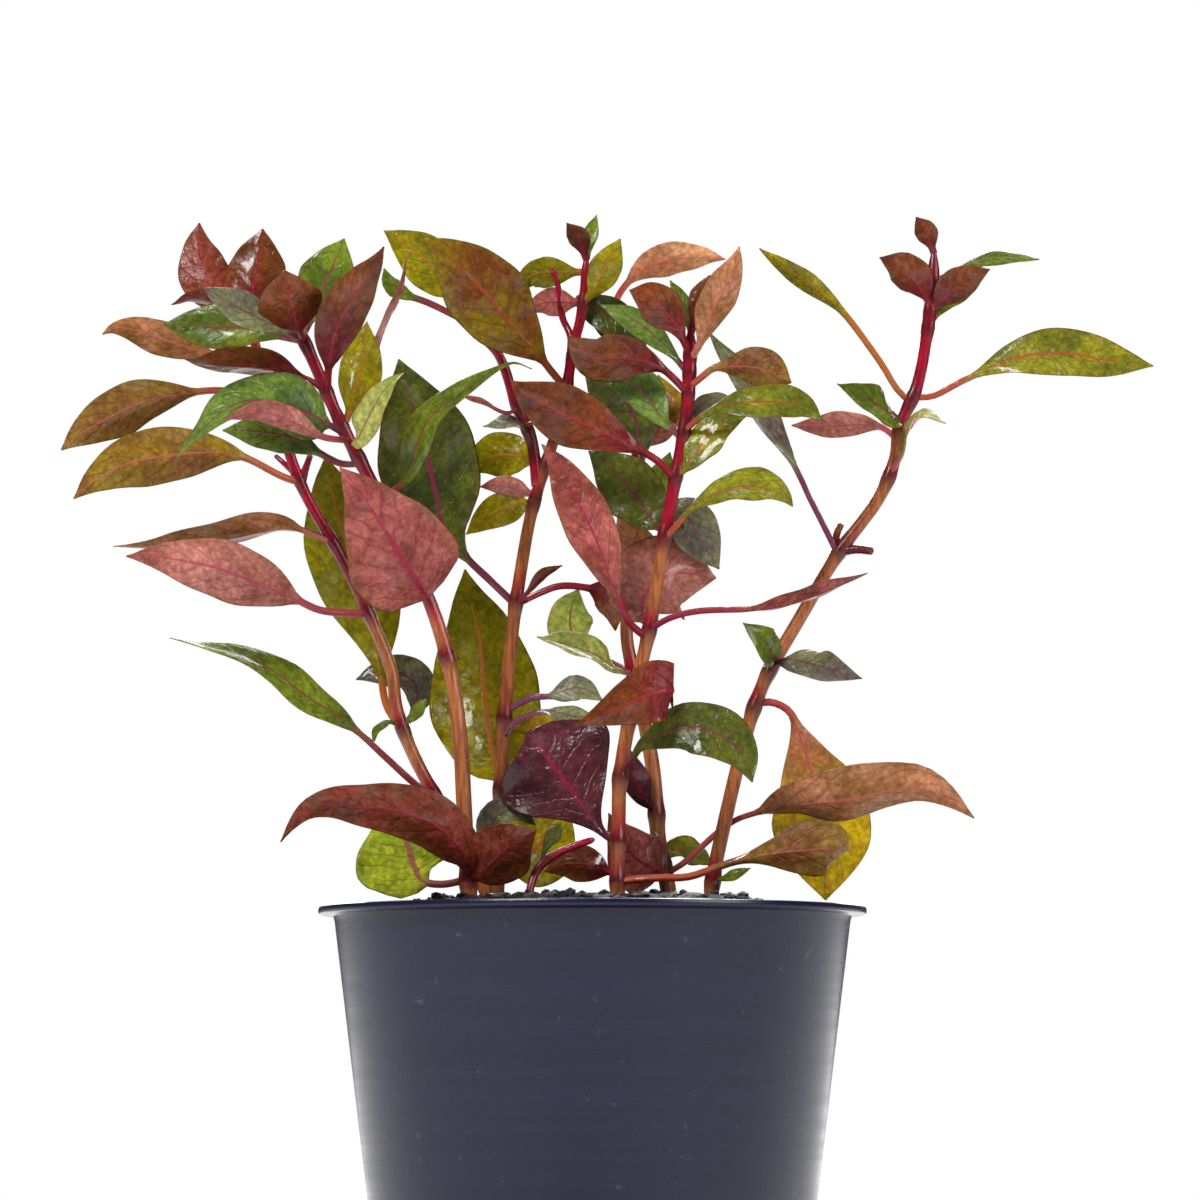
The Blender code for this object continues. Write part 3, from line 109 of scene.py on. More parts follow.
leafSurface = {
    "roughness": 0.3,
    "wetSmoothing": 0.12,
    "specular": 0.16,
    "glint": 0.45,
    "glintRoughness": 0.07,
    "bump": 0.5,
    "glowSaturation": 1.15,
    "glowBrightness": 1.5,
}

stemShape = {
    "steps": (150, 16),     # along and around
    "shortSteps": (60, 16),
    "shootSteps": (24, 10),
    "nodeSwelling": 0.22,
    "nodeLength": 0.9,
}

stemSurface = {
    "roughness": (0.32, 0.2),
    "specular": 0.2,
    "coat": 0.18,
    "coatRoughness": 0.1,
    "soft": 0.12,           # light that spreads below the skin, and how far in metres
    "softReach": (0.0008, 0.0003, 0.0002),
    "bump": 0.5,
}

studio = {
    "room": 0.34,           # soft light from all sides
    "shine": 0.1,           # the same in reflections
    "aim": (0, 0, 0.08),
    "floor": (240, 240, 240),
    "floorRoughness": 0.7,
}

# Place in metres, width and power
lights = {
    "keyLight": ((-0.4, -0.55, 0.65), 0.35, 10.5),
    "fillLight": ((0.6, -0.45, 0.35), 0.45, 3.8),
    "backLight": ((0.1, 0.7, 0.45), 0.7, 8.0),
}

# Radius at the foot and at the top, and points from the foot up
stems = {
    "a": (0.72, 0.5, [
        (-9.4, 45.6, 4.5), (-10.1, 50, 4.5), (-13.8, 57.3, 4.5), (-17.7, 64.5, 4.5), (-19.6, 69.5, 4.5),
        (-20.5, 74.5, 4.5), (-24.8, 84, 4.5), (-29, 91.5, 4.5), (-31.3, 98, 4.5), (-33.7, 105.5, 4.5),
        (-34.6, 109.5, 4.5)]),
    "b": (0.8, 0.6, [
        (-12.3, 45.6, -7), (-12.4, 51.5, -7), (-12.9, 60.5, -7), (-13.3, 67, -7), (-14.5, 74.5, -7),
        (-16.4, 80.5, -7), (-18.9, 85.8, -7), (-22.8, 93.5, -7), (-25.4, 98.5, -7), (-28.7, 106, -7),
        (-30.3, 109, -7)]),
    "c": (0.78, 0.5, [
        (-9.8, 45.6, 0), (-9.6, 51.5, 0), (-9.2, 60.5, 0), (-8.7, 70.5, 0), (-7.7, 80, 0), (-6.3, 88.5, 0),
        (-4.6, 94.5, 0), (-3, 99.5, 0), (-2, 105.5, 0), (-0.9, 110.5, 0), (-0.6, 115.5, 0)]),
    "e": (0.62, 0.45, [
        (-5.5, 92, 0), (-6.1, 96.5, 0), (-7.7, 100.3, 0), (-9.3, 105, 0), (-11.6, 107.5, 0),
        (-13, 109.3, 0)]),
    "f": (0.7, 0.62, [
        (2.5, 45.6, -9), (2.5, 51.5, -9), (2.6, 57.5, -9), (2.8, 63, -9), (4.2, 71, -9), (5.7, 77.5, -9),
        (6.9, 85, -9), (8, 91, -9), (9.2, 97.5, -9), (9.7, 102.5, -9), (9.9, 108, -9)]),
    "g": (0.82, 0.5, [
        (7.7, 45.6, 4), (7.6, 51, 4), (6.6, 56.5, 4), (6, 64, 4), (4.5, 71.5, 4), (3.4, 77.5, 4),
        (4.1, 84.5, 4), (4.6, 92, 4), (4.1, 99, 4), (2.6, 106, 4)]),
    "h": (0.7, 0.6, [
        (11.8, 45.6, -3), (11.9, 51.5, -3), (13.3, 58.5, -3), (15.1, 66, -3), (17.3, 72.5, -3),
        (21, 79, -3), (24.6, 85.1, -3), (28.6, 90.5, -3), (30.3, 94.5, -3), (30.9, 98, -3), (32.6, 102, -3),
        (33.6, 107, -3), (34.2, 112, -3), (34.4, 116, -3)]),
    "stalk": (0.42, 0.36, [
        (-6.6, 45.6, -10.5), (-6.4, 50.5, -10.5), (-5.6, 53.3, -9.9), (-4, 54.8, -9.4), (-1.3, 56, -9.4),
        (0.2, 56.5, -9.3)]),
}

# Thin side growth that stays part of its stem
sideShoots = [
    ("c", 0.42, 0.28, [
        (-2.1, 105, 0.2), (-2.2, 107.2, 1.5), (-3, 109, 2), (-3.3, 111.5, 2), (-4, 114, 2)]),
    ("a", 0.42, 0.3, [
        (-29.4, 92, 4.5), (-28.8, 93.8, 4.3), (-28.3, 95.2, 4.2)]),
    ("a", 0.4, 0.25, [
        (-29.7, 93.2, 4.5), (-31, 94.3, 5.6), (-31.9, 95.1, 6)]),
    ("h", 0.42, 0.34, [
        (24.6, 85.3, -3), (24.5, 87, -1.8), (25, 88.2, -1.4)]),
    ("h", 0.4, 0.34, [
        (24.9, 85.4, -3), (26.5, 85.6, -3.4), (28.2, 85.4, -3.8)]),
]

# Stem, looks of the upper side and underside, width of the blade, roll at base and tip, fold,
# share of petiole, place of the widest part, points. Roll 0 turns the upper side to the front.
leaves = {
    "a1": ("a", "green", "pink", 5, 10, 74, 12, 0.34, 0.42, [
        (-15.9, 60.8, 4.2), (-17.6, 61.9, 2.5), (-20.6, 64.6, 1.2), (-23.4, 67.2, 0.5), (-25.6, 68.8, 0.2),
        (-28.6, 70.7, -0.3), (-31.6, 73, -0.7), (-34.8, 74.8, -1), (-38.8, 75.8, -1.5), (-42.4, 76.7, -2)]),
    "a2": ("a", "green", "olive", 9.2, 180, 180, 8, 0.24, 0.54, [
        (-18.9, 66.8, 4.7), (-20.6, 69.8, 7), (-21.2, 73, 9), (-21.8, 77, 10), (-23.2, 82, 10),
        (-24.9, 87, 9.5), (-26.3, 92, 9), (-26.8, 95, 8.5)]),
    "a3": ("a", "green", "pink", 6.1, 170, 178, 10, 0.3, 0.42, [
        (-22.8, 79.2, 4.3), (-27, 79.4, 2), (-29.6, 80.5, 1.2), (-32.3, 81.7, 0.6), (-34.8, 82.7, 0),
        (-38.3, 83.9, -1), (-43.3, 84.8, -1.5), (-46.8, 84.9, -2)]),
    "a4": ("a", "greyGreen", "brownPink", 5.6, 118, 108, 20, 0.16, 0.36, [
        (-25.9, 86.2, 4.3), (-27.5, 86.9, 4), (-30.3, 87.8, 3.5), (-33.3, 87.5, 3), (-38.3, 86.5, 2.5),
        (-43.3, 86, 2), (-48.1, 85.9, 1.5)]),
    "a5": ("a", "green", "goldBrown", 6, 165, 160, 10, 0.24, 0.5, [
        (-29.8, 92.6, 4.3), (-31.3, 93, 3.5), (-35.3, 95, 2), (-38.8, 95.4, 1), (-42.3, 95.1, 0.5),
        (-46.3, 94.4, 0), (-49.8, 92.7, -0.5), (-52.1, 90.7, -1)]),
    "a6": ("a", "green", "brownOlive", 5.2, 148, 165, 10, 0.34, 0.52, [
        (-32.4, 100.2, 4.3), (-34.3, 101.1, 3.5), (-37, 101.6, 2.5), (-39.8, 101.5, 2), (-44.2, 100.8, 1),
        (-47.4, 99.5, 0.5), (-51.2, 97.4, 0), (-53.4, 95.6, -0.5)]),
    "a7": ("a", "green", "brownPink", 3.7, 160, 170, 12, 0.3, 0.44, [
        (-33.5, 104.3, 4.6), (-37.3, 105.1, 5), (-41.3, 106.2, 4.5), (-44.3, 107.2, 4), (-46.6, 107.9, 3.4),
        (-48.2, 107.9, 3), (-49.3, 107.3, 2.5)]),
    "b1": ("b", "green", "brownRed", 5.8, 176, 150, 14, 0.04, 0.36, [
        (-13, 52.6, -7.5), (-12.6, 54.4, -9.8), (-14.2, 56.6, -11.4), (-16.8, 58.5, -12.6),
        (-19.9, 59.5, -13.3), (-23, 59.7, -13.9), (-26, 60.1, -14.3), (-28.4, 59.5, -14.6),
        (-30, 58, -14.8), (-31.2, 56.2, -15)]),
    "b2": ("b", "green", "brownRed", 6.4, 178, 168, 10, 0.06, 0.5, [
        (-11.6, 52.6, -7.5), (-10.8, 53.4, -9.4), (-9.3, 54.9, -11.2), (-7.4, 56.4, -12.8),
        (-5.6, 57.4, -13.8)]),
    "b3": ("b", "yellowGreen", "yellowGreen", 11.5, 4, 0, 6, 0.34, 0.35, [
        (-12.9, 52.5, -6.8), (-14.9, 52, -5.6), (-16.9, 52.3, -5), (-17.8, 53.7, -5), (-18.5, 55.9, -5.4),
        (-19.4, 58.5, -5.8), (-20.2, 60.6, -6.2)]),
    "b4": ("b", "green", "mauve", 11.2, 178, 180, 8, 0.03, 0.3, [
        (-16.4, 80.4, -7.3), (-17.4, 82, -9.4), (-19.2, 84.8, -10.9), (-21.3, 88.3, -11.9),
        (-23.3, 91.3, -12.6), (-25.4, 93.9, -13)]),
    "b5": ("b", "wetGreen", "mauve", 7.6, 14, 66, 12, 0.14, 0.28, [
        (-25.4, 97.2, -7.3), (-27.3, 98.6, -9.6), (-30.3, 99.9, -11.4), (-33.8, 100.6, -12),
        (-36.3, 100, -12.5), (-38.6, 98.1, -13), (-40.7, 96.2, -13.5), (-42, 94.5, -14)]),
    "b6": ("b", "green", "brown", 5.4, 122, 118, 16, 0.2, 0.5, [
        (-26.6, 101.8, -7.4), (-28.3, 102.6, -8.6), (-30.3, 103.4, -9), (-33.3, 104.1, -10),
        (-36.3, 104.3, -11), (-39.3, 104.5, -11.5), (-41, 104.8, -12)]),
    "b7": ("b", "green", "mauve", 5, 8, 4, 8, 0.18, 0.52, [
        (-29, 106.4, -6.6), (-31.3, 107.1, -5), (-34.3, 107.9, -3.4), (-38.3, 108.1, -2.4),
        (-43.2, 108.3, -1.6)]),
    "b8": ("b", "green", "rust", 6.6, 176, 180, 8, 0.14, 0.56, [
        (-29.4, 106.6, -7.6), (-29.8, 108.6, -10.2), (-30.5, 111, -12.4), (-31, 113.8, -13.8)]),
    "b9": ("b", "green", "brown", 5, 178, 150, 14, 0.2, 0.45, [
        (-26.5, 101.2, -7.7), (-26.5, 104.2, -10.2), (-25.7, 108, -12), (-23.9, 111.5, -13),
        (-22, 114.3, -13.5), (-21, 116.2, -13.8)]),
    "b10": ("b", "paleGreen", "pink", 3.7, 18, 40, 12, 0.08, 0.45, [
        (-24.2, 95.9, -7.6), (-23.4, 96.9, -9.8), (-22.6, 98.6, -11.3), (-21.6, 100.5, -12.3),
        (-20.2, 102.5, -13), (-19, 103.4, -13.4)]),
    "b11": ("b", "green", "mauve", 4.3, 8, 78, 14, 0.12, 0.38, [
        (-21.3, 90.7, -6.6), (-19, 92.3, -7.6), (-17.8, 95.5, -9), (-16.3, 98.8, -10.6),
        (-13.3, 101.2, -12), (-10.3, 103.3, -12.6), (-8, 104.4, -13), (-6.1, 103.8, -13.4)]),
    "c1": ("c", "green", "olive", 11.4, 180, 180, 8, 0.06, 0.42, [
        (-9.3, 61.6, 0.4), (-9.8, 64, 3.4), (-10.5, 68.5, 6), (-11, 73, 7.4), (-11.4, 77, 8.2),
        (-12.3, 80.5, 8.6), (-12.8, 83.6, 8.8)]),
    "c2": ("c", "green", "yellow", 8, 180, 180, 8, 0.12, 0.45, [
        (-9.4, 53.5, 0.4), (-7.8, 54.3, 2.4), (-5.8, 55.4, 3.6), (-4.4, 57.6, 4.2), (-2.9, 60.6, 4.6)]),
    "c3": ("c", "darkGreen", "olive", 10.2, 0, 0, 6, 0.24, 0.5, [
        (-8, 80.4, 0.1), (-10.3, 82.5, 0.6), (-12.5, 84.6, 0.8), (-14.7, 87.3, 0.8), (-15.9, 92, 0.8),
        (-17.2, 97.5, 0.4), (-18.5, 101.5, 0), (-19.5, 104.8, -0.6)]),
    "c4": ("c", "green", "oliveBrown", 8.1, 176, 176, 10, 0.2, 0.5, [
        (-2.9, 102.2, -0.4), (-4, 103.4, -2.2), (-5.5, 105.3, -3.6), (-8.2, 108.2, -5),
        (-10.7, 111.3, -6.4), (-13, 113.8, -7.4), (-15.1, 115.8, -8), (-16.9, 117, -8.4)]),
    "c5": ("c", "darkGreen", "mauve", 4.2, 14, 16, 8, 0.06, 0.5, [
        (-2.3, 110.9, 2), (-1.3, 110.7, 1.5), (1.3, 109.4, 1), (3.8, 107.5, 0.5), (5.5, 105.8, 0)]),
    "e1": ("e", "green", "olive", 5.4, 176, 172, 10, 0.12, 0.5, [
        (-12.9, 109.4, 0.6), (-14, 112, 2.6), (-16.2, 114.3, 3.6), (-18.8, 116.4, 4), (-21, 117.8, 4.2)]),
    "f1": ("f", "green", "purple", 13, 178, 172, 8, 0.06, 0.7, [
        (2.1, 56.3, -8.5), (0.7, 57.5, -7.4), (-1.6, 60.7, -6.4), (-3.9, 63.9, -5.8), (-5.6, 66.2, -5.3),
        (-6.6, 67.2, -5)]),
    "f2": ("f", "darkGreen", "mauve", 5.7, 18, 12, 10, 0.16, 0.56, [
        (3, 62.6, -9.4), (4, 64.6, -11), (5, 66, -12), (7, 67, -13), (9.3, 67.7, -13.5), (11.5, 67.4, -14),
        (13.6, 66.4, -14.3), (15.1, 64.7, -14.6), (16, 62.2, -15)]),
    "f3": ("f", "green", "rust", 6.3, 178, 174, 8, 0.36, 0.2, [
        (4.2, 69, -9.6), (5.3, 70.2, -11.8), (7.2, 71.1, -13.6), (7.9, 71.4, -15.2), (6, 71.1, -16.4),
        (2.2, 69.5, -17.2), (-1.9, 67.8, -18)]),
    "f4": ("f", "green", "mauve", 5.1, 180, 178, 8, 0.24, 0.48, [
        (5, 77.2, -9.3), (3.7, 78.2, -10.6), (2.7, 80.3, -11.6), (1.7, 82.9, -12.2), (0.4, 86.5, -12.4),
        (-1.5, 90.5, -12), (-3.4, 94, -11.4), (-5.1, 96.2, -11)]),
    "f5": ("f", "green", "pink", 9.4, 178, 176, 10, 0.1, 0.46, [
        (5.6, 77.5, -8.6), (5, 79.4, -6.6), (5.7, 81.6, -5), (8.3, 83.2, -3.8), (12.4, 82.7, -2.6)]),
    "f6": ("f", "green", "mauve", 3.8, 112, 108, 14, 0.44, 0.5, [
        (5.8, 77.8, -9.5), (7.8, 78.7, -10.8), (10.8, 79.4, -11.6), (15.8, 79.6, -12.4), (18.8, 80, -12.8),
        (22.3, 81.1, -13.2), (25.3, 82.3, -13.6), (27.6, 83.2, -14)]),
    "f7": ("f", "darkGreen", "mauve", 6.2, 0, 0, 8, 0.1, 0.46, [
        (6.9, 87, -8.6), (6.1, 88.3, -7.4), (4.9, 90.2, -6.8), (3.3, 92.2, -6.4), (1.5, 94, -6.2),
        (-0.4, 95.5, -6)]),
    "f8": ("f", "oliveGreen", "olive", 5.8, 52, 48, 12, 0.2, 0.6, [
        (7.3, 86.8, -9.5), (8.6, 88.2, -10.4), (9.8, 89.6, -10.8), (11.3, 90.6, -11.2), (13.3, 91.5, -11.6),
        (15.3, 91.9, -12), (17.8, 91.6, -12.5), (19.3, 90.8, -12.8), (20.1, 89.9, -13)]),
    "f9": ("f", "green", "rust", 6, 172, 164, 10, 0.2, 0.58, [
        (8.2, 92.8, -9.4), (6.8, 94.3, -10.4), (5.3, 95.3, -11.2), (3.3, 96.3, -12.2), (0.8, 97.5, -12.9),
        (-1.8, 98.7, -13.4), (-4.3, 100, -13.8), (-6.8, 101.5, -14.2), (-8.2, 102.6, -14.5)]),
    "f10": ("f", "wetGreen", "mauve", 4.4, 22, 14, 10, 0.14, 0.5, [
        (8.6, 97.1, -9.1), (7.3, 98.3, -9.2), (6, 100.2, -9), (4.8, 101.8, -8.8), (2.8, 102.7, -8.5),
        (0.3, 103.3, -8.2)]),
    "f11": ("f", "oliveGreen", "brown", 4.6, 40, 30, 12, 0.16, 0.6, [
        (9.5, 97.8, -9.5), (10.8, 98.9, -11.2), (12.8, 99.9, -12.6), (15.3, 100.3, -13.2),
        (18.8, 100.4, -13.7), (21.3, 99.9, -13.9), (23.1, 98.6, -14)]),
    "f12": ("f", "green", "brown", 5, 165, 162, 10, 0.22, 0.55, [
        (9.4, 101.3, -9.4), (7.9, 103.1, -10.4), (6.3, 104.2, -11.2), (3.3, 104.9, -12),
        (0.3, 104.9, -12.5), (-1.7, 106.3, -12.9), (-2.4, 107.3, -13.1)]),
    "f13": ("f", "green", "brownOlive", 4.4, 150, 158, 12, 0.24, 0.62, [
        (9.9, 102, -9.4), (11, 103, -10.2), (12.3, 103.9, -10.7), (14.3, 104.1, -11.1), (16.3, 104, -11.5),
        (18.1, 103.4, -11.9), (20, 102.4, -12.3)]),
    "f14": ("f", "green", "rust", 4.2, 178, 176, 8, 0.16, 0.58, [
        (9.8, 105.4, -9.4), (9, 107, -10.4), (8, 108.8, -11.2), (6, 110.8, -12), (3.7, 111.8, -12.5)]),
    "f15": ("f", "green", "brownPink", 3.8, 165, 160, 12, 0.16, 0.5, [
        (10.1, 104.6, -9.5), (10.9, 106.6, -10.6), (11.7, 109, -11.5), (13.2, 112, -12.2),
        (14.3, 114.4, -12.6), (14.8, 116.2, -12.8)]),
    "f16": ("f", "green", "brownOlive", 6.1, 172, 160, 12, 0.4, 0.72, [
        (3.1, 52.6, -9.4), (6, 52.6, -10), (9.3, 52.7, -10.2), (11.4, 53.3, -10), (14, 54.2, -10),
        (17, 54.9, -10.4), (20.8, 55.4, -10.7), (24, 55.6, -10.4), (25.6, 55.4, -8.6)]),
    "g1": ("g", "green", "mauve", 6.8, 180, 180, 8, 0.08, 0.3, [
        (7.1, 53.2, 3.5), (6, 53.7, 1.4), (4.4, 54.6, -0.8), (2.9, 56.7, -2.4), (1.6, 59.1, -3.6)]),
    "g2": ("g", "green", "brownPink", 6.8, 146, 140, 20, 0.36, 0.46, [
        (7.9, 53.4, 3.6), (9.5, 54.4, 2.2), (12.2, 56.9, 0.6), (14.5, 58.5, -1.6), (17.8, 59.5, -5.4),
        (20.8, 60, -8.2), (25.8, 60.6, -9.8), (30.8, 61.8, -10.5), (33.2, 61.7, -10.8), (35.8, 60.5, -11.1),
        (38.2, 58.6, -11.4)]),
    "g3": ("g", "paleGreen", "mauve", 4.8, 46, 56, 20, 0.16, 0.5, [
        (3.7, 72.9, 3.5), (2.2, 73.5, 1.9), (0.3, 74.9, 0.4), (-2.6, 75.9, -0.6), (-5.6, 76.8, -1.2)]),
    "g4": ("g", "darkGreen", "mauve", 6.6, 0, 0, 8, 0.12, 0.5, [
        (4.6, 93.6, 3.5), (5, 95.5, 1.8), (4, 99.3, 0.6), (2.4, 102.2, -1), (0.2, 104.8, -2.2),
        (-1.6, 106.3, -2.8)]),
    "h1": ("h", "green", "yellowPink", 10, 180, 180, 8, 0.16, 0.6, [
        (16.6, 69.7, -2.9), (18.1, 70.2, -2.6), (19.8, 69.2, -2.4), (20.7, 67, -2.2), (21.5, 64.5, -2.2),
        (22.7, 60.5, -2.4), (23.2, 55.4, -2.8), (23.3, 50.4, -3.2)]),
    "h2": ("h", "greyGreen", "mauve", 4.2, 36, 24, 12, 0.08, 0.46, [
        (18.5, 73.6, -3.5), (20.1, 74.4, -5.6), (22.3, 73.9, -7.8), (24.8, 73.2, -9), (27, 72.6, -9.5)]),
    "h3": ("h", "greyGreen", "mauve", 3.7, 40, 36, 10, 0.36, 0.5, [
        (24.1, 85.6, -3.5), (23.2, 88, -4), (21.8, 90.8, -4.4), (20.9, 92.8, -4.6), (19.5, 95.5, -4.8),
        (17.4, 99, -5), (15, 103, -5), (12.9, 105.8, -5), (11.6, 107.7, -5)]),
    "h4": ("h", "green", "olive", 2.3, 140, 150, 12, 0.5, 0.5, [
        (31.4, 100.7, -3.1), (30.5, 101.9, -3.5), (29, 104.4, -4), (25.9, 108.7, -4.5), (24, 110.7, -4.7),
        (21.5, 112.6, -5), (18.5, 114.7, -5.3), (16.8, 116, -5.5)]),
    "h5": ("h", "oliveGreen", "pink", 5.8, 26, 24, 12, 0.24, 0.54, [
        (33, 100.5, -3.1), (34.3, 101.1, -3.3), (36.8, 102.4, -3.5), (39.3, 103.6, -3.8), (42.3, 104.8, -4),
        (45.3, 105.3, -4.3), (48.3, 105.3, -4.5), (51.3, 104.7, -4.8), (54.3, 104.4, -5),
        (56.4, 104.1, -5.2)]),
    "h6": ("h", "green", "rust", 4, 162, 158, 12, 0.1, 0.45, [
        (33.7, 110.2, -3.4), (32.7, 112.5, -4.6), (31, 114.2, -6), (28.9, 115.1, -7)]),
}

